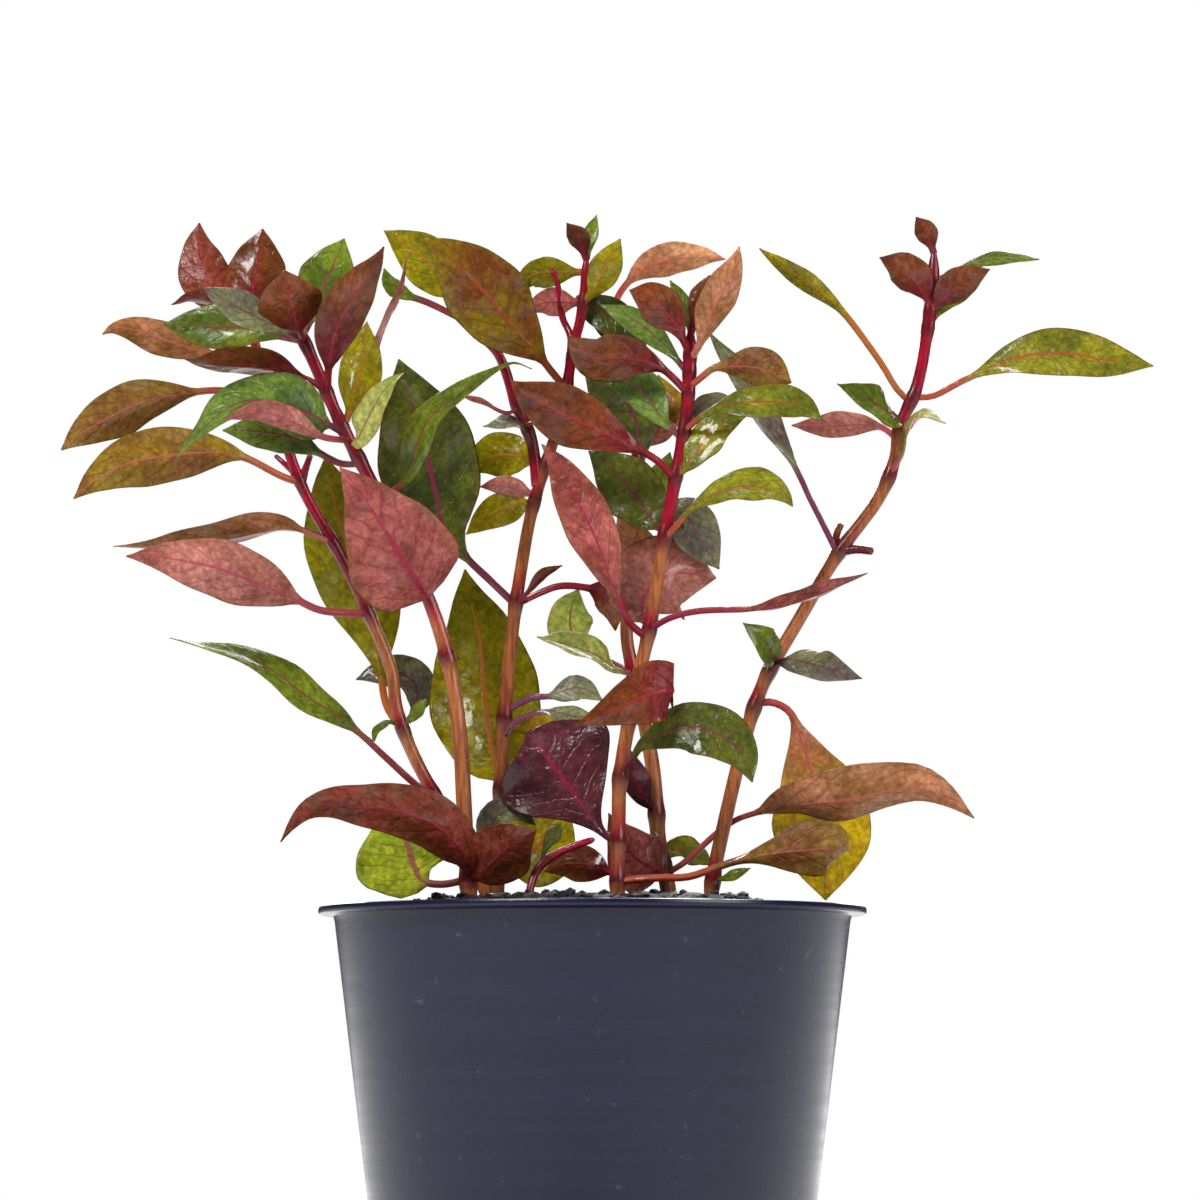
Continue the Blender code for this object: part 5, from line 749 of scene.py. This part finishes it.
def leafMaterial(name, look):
    made, tree, shader = newMaterial(name)
    place = tree.nodes.new("ShaderNodeTexCoord").outputs["Object"]
    lengthShare, widthShare = chartPlace(tree, "leafMap")
    along = calc(tree, "MULTIPLY_ADD", lengthShare, 1.25, -0.25)
    across = calc(tree, "MULTIPLY_ADD", widthShare, 2.0, -1.0)
    mottle = useGroup(tree, mottleGroup, Vector=place)
    patches, fine = mottle.outputs["Patches"], mottle.outputs["Fine"]
    veins = useGroup(tree, veinGroup, Along=along, Across=across, Wander=patches)

    base, second = screenColour(look["base"]), screenColour(look["second"])
    colour = blendColour(tree, patches, base, second)
    if "shoulder" in look:
        colour = blendColour(tree, ramp(tree, along, 0.1, 0.55, 0.9, 0.0), colour,
                             screenColour(look["shoulder"]))
    colour = blendColour(tree, calc(tree, "MULTIPLY", veins.outputs["Edge"], look["marginAmount"]),
                         colour, screenColour(look["margin"]))
    shade = ramp(tree, fine, 0.3, 0.7, 0.68, 1.26)
    shade = calc(tree, "MULTIPLY", shade, ramp(tree, mottle.outputs["Cells"], 0.0, 1.0, 0.86, 1.04))
    colour = shaded(tree, colour, shade)
    veinShare = calc(tree, "MULTIPLY", veins.outputs["Veins"], look["veinAmount"])
    colour = blendColour(tree, veinShare, colour, screenColour(look["vein"]))
    midribShare = calc(tree, "MULTIPLY", veins.outputs["Midrib"], 0.85)
    colour = blendColour(tree, midribShare, colour, screenColour(look["midrib"]))
    stalkShare = ramp(tree, lengthShare, 0.17, 0.24, 0.9, 0.0)
    colour = blendColour(tree, stalkShare, colour, screenColour(look["midrib"]))

    height = calc(tree, "MULTIPLY_ADD", veins.outputs["Veins"], -0.5, calc(tree, "MULTIPLY", fine, 0.45))
    height = calc(tree, "MULTIPLY_ADD", veins.outputs["Midrib"], 0.8, height)
    height = calc(tree, "MULTIPLY_ADD", mottle.outputs["Wet"], 0.9, height)
    addBump(tree, shader, height, leafSurface["bump"], 0.00016)
    wire(tree, colour, shader.inputs["Base Color"])
    rough = calc(tree, "MULTIPLY_ADD", mottle.outputs["Wet"], -leafSurface["wetSmoothing"],
                 leafSurface["roughness"])
    wire(tree, rough, shader.inputs["Roughness"])
    shader.inputs["Specular IOR Level"].default_value = leafSurface["specular"]
    glint = calc(tree, "MULTIPLY", ramp(tree, mottle.outputs["Wet"], 0.35, 0.9), leafSurface["glint"])
    wire(tree, glint, shader.inputs["Coat Weight"])
    shader.inputs["Coat Roughness"].default_value = leafSurface["glintRoughness"]

    glow = tree.nodes.new("ShaderNodeBsdfTranslucent")
    bright = tree.nodes.new("ShaderNodeHueSaturation")
    bright.inputs["Saturation"].default_value = leafSurface["glowSaturation"]
    bright.inputs["Value"].default_value = leafSurface["glowBrightness"]
    wire(tree, colour, bright.inputs["Color"])
    wire(tree, bright.outputs[0], glow.inputs["Color"])
    mix = tree.nodes.new("ShaderNodeMixShader")
    mix.inputs[0].default_value = look["glow"]
    wire(tree, shader.outputs[0], mix.inputs[1])
    wire(tree, glow.outputs[0], mix.inputs[2])
    wire(tree, mix.outputs[0], tree.nodes["Material Output"].inputs["Surface"])
    return made


leafMaterials = {}


def leafLook(name):
    if name not in leafMaterials:
        leafMaterials[name] = leafMaterial("leaf_" + name, looks[name])
    return leafMaterials[name]


def stemMaterial():
    made, tree, shader = newMaterial("stemSkin")
    place = tree.nodes.new("ShaderNodeTexCoord").outputs["Object"]
    redness, jointShare = chartPlace(tree, "stemMap")
    streaks = noise(tree, stretched(tree, place, (1.0, 1.0, 0.12)), 2600.0, 3.0)
    patches = ramp(tree, noise(tree, place, 260.0, 3.0), 0.35, 0.65)
    fine = noise(tree, place, 2400.0, 3.0)
    low = blendColour(tree, ramp(tree, streaks, 0.35, 0.65), screenColour(stemLook["low"]),
                      screenColour(stemLook["lowSecond"]))
    red = blendColour(tree, patches, screenColour(stemLook["red"]), screenColour(stemLook["bright"]))
    wander = calc(tree, "MULTIPLY_ADD", patches, 0.3, calc(tree, "SUBTRACT", redness, 0.15))
    colour = blendColour(tree, ramp(tree, wander, 0.15, 0.85), low, red)
    colour = blendColour(tree, calc(tree, "MULTIPLY", jointShare, 0.8), colour,
                         screenColour(stemLook["node"]))
    shade = ramp(tree, streaks, 0.25, 0.75, 0.78, 1.15)
    colour = shaded(tree, colour, shade)
    height = calc(tree, "ADD", streaks, calc(tree, "MULTIPLY", fine, 0.4))
    addBump(tree, shader, height, stemSurface["bump"], 0.0001)
    wire(tree, colour, shader.inputs["Base Color"])
    wire(tree, ramp(tree, patches, 0.0, 1.0, *stemSurface["roughness"]), shader.inputs["Roughness"])
    shader.inputs["Subsurface Weight"].default_value = stemSurface["soft"]
    shader.inputs["Subsurface Radius"].default_value = stemSurface["softReach"]
    shader.inputs["Specular IOR Level"].default_value = stemSurface["specular"]
    shader.inputs["Coat Weight"].default_value = stemSurface["coat"]
    shader.inputs["Coat Roughness"].default_value = stemSurface["coatRoughness"]
    return made


def potMaterial():
    made, tree, shader = newMaterial("potPlastic")
    place = tree.nodes.new("ShaderNodeTexCoord").outputs["Object"]
    rings = noise(tree, stretched(tree, place, (0.1, 0.1, 6.0)), 160.0, 2.0)
    grain = noise(tree, place, 3200.0, 3.0)
    dust = ramp(tree, noise(tree, place, 620.0, 5.0, 0.65), 0.62, 0.78)
    colour = blendColour(tree, ramp(tree, rings, 0.3, 0.7, 0.0, 0.35), screenColour(pot["colour"]),
                         screenColour(pot["highlight"]))
    colour = blendColour(tree, calc(tree, "MULTIPLY", dust, 0.12), colour, screenColour(pot["dust"]))
    wire(tree, colour, shader.inputs["Base Color"])
    wire(tree, ramp(tree, rings, 0.2, 0.8, 0.2, 0.28), shader.inputs["Roughness"])
    shader.inputs["Specular IOR Level"].default_value = pot["specular"]
    addBump(tree, shader, calc(tree, "MULTIPLY_ADD", rings, 0.2, grain), pot["bump"], 0.00008)
    return made


def mediumMaterial(name, light):
    made, tree, shader = newMaterial(name)
    place = tree.nodes.new("ShaderNodeTexCoord").outputs["Object"]
    grit = noise(tree, place, 900.0, 5.0, 0.7)
    fibres = cells(tree, place, 1600.0)
    flecks = ramp(tree, noise(tree, place, 1300.0, 2.0), 0.6, 0.7)
    colour = blendColour(tree, ramp(tree, grit, 0.35, 0.7), screenColour(medium["colour"]),
                         screenColour(medium["grit"]))
    colour = blendColour(tree, calc(tree, "MULTIPLY", flecks, light), colour,
                         screenColour(medium["fleck"]))
    wire(tree, colour, shader.inputs["Base Color"])
    wire(tree, ramp(tree, grit, 0.3, 0.7, 0.3, 0.75), shader.inputs["Roughness"])
    shader.inputs["Specular IOR Level"].default_value = medium["specular"]
    addBump(tree, shader, calc(tree, "MULTIPLY_ADD", fibres, 0.6, grit), medium["bump"], 0.0003)
    return made


# Plant


def stemLine(key):
    return smoothLine([front(*place) for place in stems[key][2]])


stemLines = {key: stemLine(key) for key in stems}


def leafFrame(line, run, leaf, share, chord):
    centre, along = atShare(line, run, share)
    flat = Vector((along.x, 0, along.z)) + 0.25 * chord
    flat.normalize()
    up = (1.0 if chord.x >= 0 else -1.0) * Vector((-flat.z, 0, flat.x))
    roll = math.radians(leaf["rollBase"] + (leaf["rollTip"] - leaf["rollBase"]) * share)
    normal = up * math.sin(roll) - Vector((0, 1, 0)) * math.cos(roll)
    normal = (normal - along * normal.dot(along)).normalized()
    return centre, along.cross(normal).normalized(), normal


# Half width, half thickness at the middle and at the edge, how far the blade has opened, and the
# share of the blade that lies behind
def leafSection(leaf, share):
    petiole, full = leaf["petiole"], leaf["width"] / 2
    s = (share - petiole) / (1 - petiole)
    blade = 0.0
    if s > 0:
        blade = full * math.sin(math.pi * min(1.0, s) ** (math.log(0.5) / math.log(leaf["belly"])))
    opened = min(1.0, blade / full * 1.6)
    narrow = leafShape["petioleHalf"] if s < 0.5 else leafShape["tipHalf"]
    if full < 1.0:
        narrow *= 0.7
    half = (max(blade, 0.0) ** 3 + narrow ** 3) ** (1 / 3)
    middle, edge = leafShape["bladeHalfThickness"], leafShape["edgeHalfThickness"]
    if s < 0.5:
        middle = narrow * 0.9 * (1 - opened) + middle * opened
        edge = 0.12 * (1 - opened) + edge * opened
    else:
        middle = edge + (middle - edge) * opened
    return half, middle, edge, opened, s


def addLeaf(bm, leaf, slots):
    line = smoothLine(leaf["path"])
    run = runLengths(line)
    chord = line[-1] - line[0]
    chord = Vector((chord.x, 0, chord.z)).normalized()
    uv = bm.loops.layers.uv["leafMap"]
    steps, around = leafShape["steps" if leaf["width"] > leafShape["smallWidth"] else "smallSteps"]
    made = bmesh.ops.create_grid(bm, x_segments=steps, y_segments=around, size=1.0)
    verts = made["verts"]
    places = {}
    frames = {}
    fold, seed = math.radians(leaf["fold"]), leaf["seed"]
    for vert in verts:
        share, turn = round((vert.co.x + 1) / 2, 5), math.pi * vert.co.y
        if share not in frames:
            frames[share] = leafFrame(line, run, leaf, share, chord) + leafSection(leaf, share)
        centre, across, normal, half, middle, edge, opened, s = frames[share]
        v, rise = math.cos(turn), math.sin(turn)
        away = abs(v)
        thick = edge + (middle - edge) * (1 - away ** 1.5)
        lift = half * opened * (math.sin(fold) * away - leafShape["cup"] * away ** 3)
        ripple = math.sin(2 * math.pi * (2.4 * s + 0.31 * seed) + (1.9 if v > 0 else 0.0))
        lift += half * opened * leafShape["wave"] * away ** 2 * ripple
        lift -= 0.05 * half * opened * math.exp(-(v / 0.12) ** 2)
        bulge = 1 + 0.022 * opened * math.sin(2 * math.pi * 3.1 * s + seed) * (1 if v > 0 else -1)
        spread = half * v * (math.cos(fold * opened * away) * bulge)
        places[vert] = (share, v, rise)
        vert.co = (centre + across * spread + normal * (lift + thick * rise)) * mm
    petiole = leaf["petiole"]
    faces = {face for vert in verts for face in vert.link_faces}
    for face in faces:
        rise = sum(places[loop.vert][2] for loop in face.loops)
        face.material_index = slots[0] if rise > 0 else slots[1]
        face.smooth = True
        for loop in face.loops:
            share, v, _ = places[loop.vert]
            u = 0.2 + 0.8 * (share - petiole) / (1 - petiole)
            if share < petiole:
                u = 0.2 * share / petiole
            loop[uv].uv = (u, 0.5 + 0.5 * v)
    seam = [vert for vert in verts if abs(places[vert][1] + 1) < 1e-6]
    bmesh.ops.remove_doubles(bm, verts=seam, dist=1e-7)
    edges = [edge for edge in bm.edges if edge.is_boundary]
    bmesh.ops.holes_fill(bm, edges=edges)


def leafRecord(stem, width, rollBase, rollTip, fold, petiole, belly, points, seed):
    path = [front(*place) for place in points]
    path[0] = min(stemLines[stem], key=lambda place: (place - path[0]).length)
    return {"width": width, "rollBase": rollBase, "rollTip": rollTip, "fold": fold,
            "petiole": petiole, "belly": belly, "path": path, "seed": seed}


def placeMesh(name, bm):
    mesh = bpy.data.meshes.new(name)
    bm.to_mesh(mesh)
    bm.free()
    made = bpy.data.objects.new(name, mesh)
    bpy.context.scene.collection.objects.link(made)
    return made


def newObject(name, bm, materials):
    bmesh.ops.recalc_face_normals(bm, faces=bm.faces[:])
    made = placeMesh(name, bm)
    for used in materials:
        made.data.materials.append(used)
    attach(made, "root")
    return made


# A closed outline of radius and height turned about the upright axis
def turnedShape(profile, steps):
    bm = bmesh.new()
    verts = [bm.verts.new((r * mm, 0, z * mm)) for r, z in profile]
    edges = [bm.edges.new(pair) for pair in zip(verts, verts[1:])]
    bmesh.ops.spin(bm, geom=verts + edges, cent=(0, 0, 0), axis=(0, 0, 1), angle=2 * math.pi,
                   steps=steps, use_merge=True)
    bmesh.ops.remove_doubles(bm, verts=bm.verts[:], dist=1e-7)
    for face in bm.faces:
        face.smooth = True
    return bm


def makeLeafPiece(name, rows, seed):
    bm = bmesh.new()
    bm.loops.layers.uv.new("leafMap")
    names = sorted({name for row in rows for name in row[1:3]})
    for count, row in enumerate(rows):
        stem, upper, under, *shape = row
        leaf = leafRecord(stem, *shape, seed + 1.7 * count)
        addLeaf(bm, leaf, (names.index(upper), names.index(under)))
    return newObject(name, bm, [leafLook(look) for look in names])


def makeLeaves():
    for count, (key, row) in enumerate(leaves.items()):
        piece = makeLeafPiece("leaf" + key.upper(), [row], 0.7 * count)
        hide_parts("leaf_" + key)
    for key in stems:
        rows = [row for row in smallLeaves if row[0] == key]
        if rows:
            piece = makeLeafPiece("smallLeaves" + key.capitalize(), rows, 3.1)


def addTube(bm, line, radii, marks, steps, around):
    run = runLengths(line)
    uv = bm.loops.layers.uv["stemMap"]
    made = bmesh.ops.create_grid(bm, x_segments=steps, y_segments=around, size=1.0)
    verts = made["verts"]
    places, frames = {}, {}
    for vert in verts:
        share, turn = round((vert.co.x + 1) / 2, 5), math.pi * vert.co.y
        if share not in frames:
            centre, along = atShare(line, run, share)
            across = along.cross(Vector((0, 1, 0))).normalized()
            other = along.cross(across).normalized()
            radius = radii[0] + (radii[1] - radii[0]) * share
            joint = max((math.exp(-((centre.z - height) / stemShape["nodeLength"]) ** 2)
                         for height in marks["heights"]), default=0.0)
            radius *= 1 + stemShape["nodeSwelling"] * joint
            radius *= min(1.0, 0.35 + (1 - share) * 26)
            redness = smoothStep(centre.z, marks["redFrom"], marks["redTo"])
            for height in marks["heights"]:
                above = centre.z - height
                if above > 0:
                    redness = max(redness, 0.9 * math.exp(-above / 2.6))
            frames[share] = centre, across, other, radius, redness, joint
        centre, across, other, radius, redness, joint = frames[share]
        ridge = 1 + 0.035 * math.cos(4 * turn + 3 * share) + 0.02 * math.cos(7 * turn + 40 * share)
        reach = radius * ridge
        places[vert] = (redness, joint)
        vert.co = (centre + across * reach * math.cos(turn) + other * reach * math.sin(turn)) * mm
    for face in {face for vert in verts for face in vert.link_faces}:
        face.smooth = True
        for loop in face.loops:
            loop[uv].uv = places[loop.vert]
    bmesh.ops.remove_doubles(bm, verts=verts, dist=1e-8)
    bmesh.ops.holes_fill(bm, edges=[edge for edge in bm.edges if edge.is_boundary])


# Joint heights are given as seen, so they are moved to where the stem really is
def realHeights(key):
    marks = stemMarks[key]
    depth = stems[key][2][-1][2]
    heights = [front(0, height, depth).z for height in marks["nodes"]]
    return {"heights": heights, "redFrom": front(0, marks["redFrom"], depth).z,
            "redTo": front(0, marks["redTo"], depth).z}


def makeStems(skin):
    for key, (foot, top, points) in stems.items():
        bm = bmesh.new()
        bm.loops.layers.uv.new("stemMap")
        marks = realHeights(key)
        steps = stemShape["steps" if len(points) > 7 else "shortSteps"]
        addTube(bm, stemLines[key], (foot, top), marks, *steps)
        for stem, low, high, path in sideShoots:
            if stem == key:
                line = smoothLine([front(*place) for place in path])
                addTube(bm, line, (low, high), marks, *stemShape["shootSteps"])
        name = "stalkJ" if key == "stalk" else "stem" + key.upper()
        piece = newObject(name, bm, [skin])
        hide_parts("stalk_j" if key == "stalk" else "stem_" + key)


# Pot


def makePot(skin):
    under = pot["height"] - pot["rimThickness"]
    innerTop = pot["wallRadiusTop"] - pot["wallThickness"]
    innerFoot = pot["wallRadiusFoot"] - pot["wallThickness"]
    profile = [
        (0, 0), (pot["wallRadiusFoot"] - 1.0, 0), (pot["wallRadiusFoot"] - 0.3, 0.12),
        (pot["wallRadiusFoot"], 0.7), (pot["wallRadiusTop"] - 0.04, under - 0.7),
        (pot["wallRadiusTop"] + 0.1, under - 0.15), (pot["wallRadiusTop"] + 0.4, under),
        (pot["rimRadius"] - 0.25, under), (pot["rimRadius"] - 0.05, under + 0.1),
        (pot["rimRadius"], under + 0.3), (pot["rimRadius"], pot["height"] - 0.3),
        (pot["rimRadius"] - 0.08, pot["height"] - 0.08), (pot["rimRadius"] - 0.3, pot["height"]),
        (innerTop + 0.3, pot["height"]), (innerTop + 0.06, pot["height"] - 0.1),
        (innerTop, pot["height"] - 0.4), (innerFoot, pot["floorThickness"] + 0.3),
        (innerFoot - 0.3, pot["floorThickness"]), (0, pot["floorThickness"]),
    ]
    piece = newObject("potShell", turnedShape(profile, pot["segments"]), [skin])
    cutter = makeDrainCutter()
    cut = piece.modifiers.new("drains", "BOOLEAN")
    cut.operation = "DIFFERENCE"
    cut.solver = "EXACT"
    cut.object = cutter
    graph = bpy.context.evaluated_depsgraph_get()
    whole = bpy.data.meshes.new_from_object(piece.evaluated_get(graph))
    piece.modifiers.clear()
    piece.data = whole
    whole.set_sharp_from_angle(angle=math.radians(35))
    bpy.data.objects.remove(cutter, do_unlink=True)
    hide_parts("pot")


def makeDrainCutter():
    bm = bmesh.new()
    for k in range(pot["drainHoles"]):
        turn = 2 * math.pi * (k + 0.5) / pot["drainHoles"]
        reach = pot["drainRingRadius"]
        made = bmesh.ops.create_cone(bm, cap_ends=True, segments=32, radius1=pot["drainHoleRadius"] * mm,
                                     radius2=pot["drainHoleRadius"] * mm, depth=6 * mm)
        shift = Vector((reach * math.cos(turn), reach * math.sin(turn), 0)) * mm
        bmesh.ops.translate(bm, verts=made["verts"], vec=shift)
    cutter = placeMesh("drainCutter", bm)
    cutter.hide_render = True
    return cutter


# Growing medium


def mediumHeight(x, y):
    share = min(1.0, math.hypot(x, y) / medium["radius"])
    lump = math.sin(0.61 * x + 1.3) * math.cos(0.73 * y) + 0.5 * math.sin(1.7 * x + 0.9 * y)
    fine = 0.35 * math.sin(3.1 * x + 0.4) * math.cos(2.7 * y + 1.1)
    fine += 0.2 * math.sin(6.3 * x) * math.sin(5.9 * y)
    settle = 1 - smoothStep(share, 0.85, 1.0) * 0.8
    return (medium["edgeHeight"] + medium["mound"] * min(1.0, 2.6 * (1 - share))
            + medium["relief"] * (lump + fine) * settle)


def makeMedium(skin):
    foot, radius = medium["footRadius"], medium["radius"]
    low, high = medium["foot"], medium["edgeHeight"]
    profile = [(0.0, low), (foot - 0.3, low), (foot, low + 0.3)]
    profile += [(foot + (radius - foot) * k / 6, low + (high - low) * k / 6) for k in range(1, 7)]
    profile += [(radius * (1 - k / 40), high) for k in range(1, 41)]
    bm = turnedShape(profile, medium["segments"])
    for vert in bm.verts:
        x, y, z = vert.co / mm
        if z > medium["edgeHeight"] - 0.01:
            vert.co.z = mediumHeight(x, y) * mm
        elif z > medium["foot"] + 0.5:
            swell = 1 + 0.004 * math.sin(9 * math.atan2(y, x) + z * 0.7)
            vert.co.x *= swell * 0.996
            vert.co.y *= swell * 0.996
    piece = newObject("growingMedium", bm, [skin])
    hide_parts("growing_medium")


# A steady stream of numbers from 0 to 1 that is the same on every run
def scatter(seed):
    value = seed
    while True:
        value = (value * 16807) % 2147483647
        yield value / 2147483647


def makeCrumbs(skin, pale):
    draw = scatter(crumbs["seed"])
    bm = bmesh.new()
    for k in range(crumbs["count"]):
        turn, reach = 2 * math.pi * next(draw), crumbs["reach"] * next(draw) ** 0.45
        x, y = reach * math.cos(turn), reach * math.sin(turn)
        size = crumbs["smallest"] + crumbs["sizeRange"] * next(draw) ** 2
        made = bmesh.ops.create_icosphere(bm, subdivisions=1, radius=size * mm)
        squash = 0.45 + 0.4 * next(draw)
        stretch = 0.7 + 0.9 * next(draw)
        spin = 2 * math.pi * next(draw)
        lean = next(draw) - 0.5
        for vert in made["verts"]:
            px, py, pz = vert.co
            px *= stretch
            pz = pz * squash + lean * px * 0.6
            rough = 1 + 0.25 * math.sin(41 * k + 5000 * px + 3700 * py)
            vert.co = (x * mm + (px * math.cos(spin) - py * math.sin(spin)) * rough,
                       y * mm + (px * math.sin(spin) + py * math.cos(spin)) * rough,
                       mediumHeight(x, y) * mm + pz + size * 0.1 * mm)
        light = 1 if next(draw) < crumbs["paleShare"] else 0
        for face in {face for vert in made["verts"] for face in vert.link_faces}:
            face.material_index = light
    piece = newObject("mediumCrumbs", bm, [skin, pale])


# Studio


def makeStage():
    bm = bmesh.new()
    bmesh.ops.create_grid(bm, x_segments=4, y_segments=4, size=1.5)
    floor = placeMesh("floor", bm)
    made, tree, shader = newMaterial("studioFloor")
    shader.inputs["Base Color"].default_value = screenColour(studio["floor"])
    shader.inputs["Roughness"].default_value = studio["floorRoughness"]
    floor.data.materials.append(made)
    world = bpy.context.scene.world or bpy.data.worlds.new("studio")
    bpy.context.scene.world = world
    world.use_nodes = True
    tree = world.node_tree
    backdrop = tree.nodes["Background"]
    backdrop.inputs["Color"].default_value = (1.0, 1.0, 1.0, 1.0)
    room = tree.nodes.new("ShaderNodeBackground")
    room.inputs["Color"].default_value = (1.0, 1.0, 1.0, 1.0)
    path = tree.nodes.new("ShaderNodeLightPath")
    soft = calc(tree, "MULTIPLY_ADD", path.outputs["Is Glossy Ray"], studio["shine"] - studio["room"],
                studio["room"])
    wire(tree, soft, room.inputs["Strength"])
    mix = tree.nodes.new("ShaderNodeMixShader")
    wire(tree, path.outputs["Is Camera Ray"], mix.inputs[0])
    wire(tree, room.outputs[0], mix.inputs[1])
    wire(tree, backdrop.outputs[0], mix.inputs[2])
    wire(tree, mix.outputs[0], tree.nodes["World Output"].inputs["Surface"])
    bpy.context.scene.view_settings.view_transform = "Standard"


def makeLight(name, place, size, power):
    data = bpy.data.lights.new(name, "AREA")
    data.shape = "DISK"
    data.size = size
    data.energy = power
    light = bpy.data.objects.new(name, data)
    bpy.context.scene.collection.objects.link(light)
    light.location = place
    light.rotation_mode = "QUATERNION"
    light.rotation_quaternion = (Vector(studio["aim"]) - Vector(place)).to_track_quat("-Z", "Y")


def makeCamera():
    data = bpy.data.cameras.new("camera")
    data.sensor_width = camera["sensorWidth"]
    data.lens = camera["lens"]
    data.clip_start = 0.05
    data.clip_end = 20.0
    view = bpy.data.objects.new("camera", data)
    bpy.context.scene.collection.objects.link(view)
    place = Vector((camera["side"], -camera["distance"], camera["height"])) * mm
    aim = Vector((camera["side"], 0, camera["aimHeight"])) * mm
    view.location = place
    view.rotation_mode = "QUATERNION"
    view.rotation_quaternion = (aim - place).to_track_quat("-Z", "Y")
    bpy.context.scene.camera = view


makeCamera()
makeStage()
for name, row in lights.items():
    makeLight(name, *row)
print("stage ready")
makePot(potMaterial())
dark = mediumMaterial("mediumDark", 0.25)
makeMedium(dark)
makeCrumbs(dark, mediumMaterial("mediumPale", 1.0))
print("pot and medium ready")
makeStems(stemMaterial())
print("stems ready")
makeLeaves()
print("leaves ready")
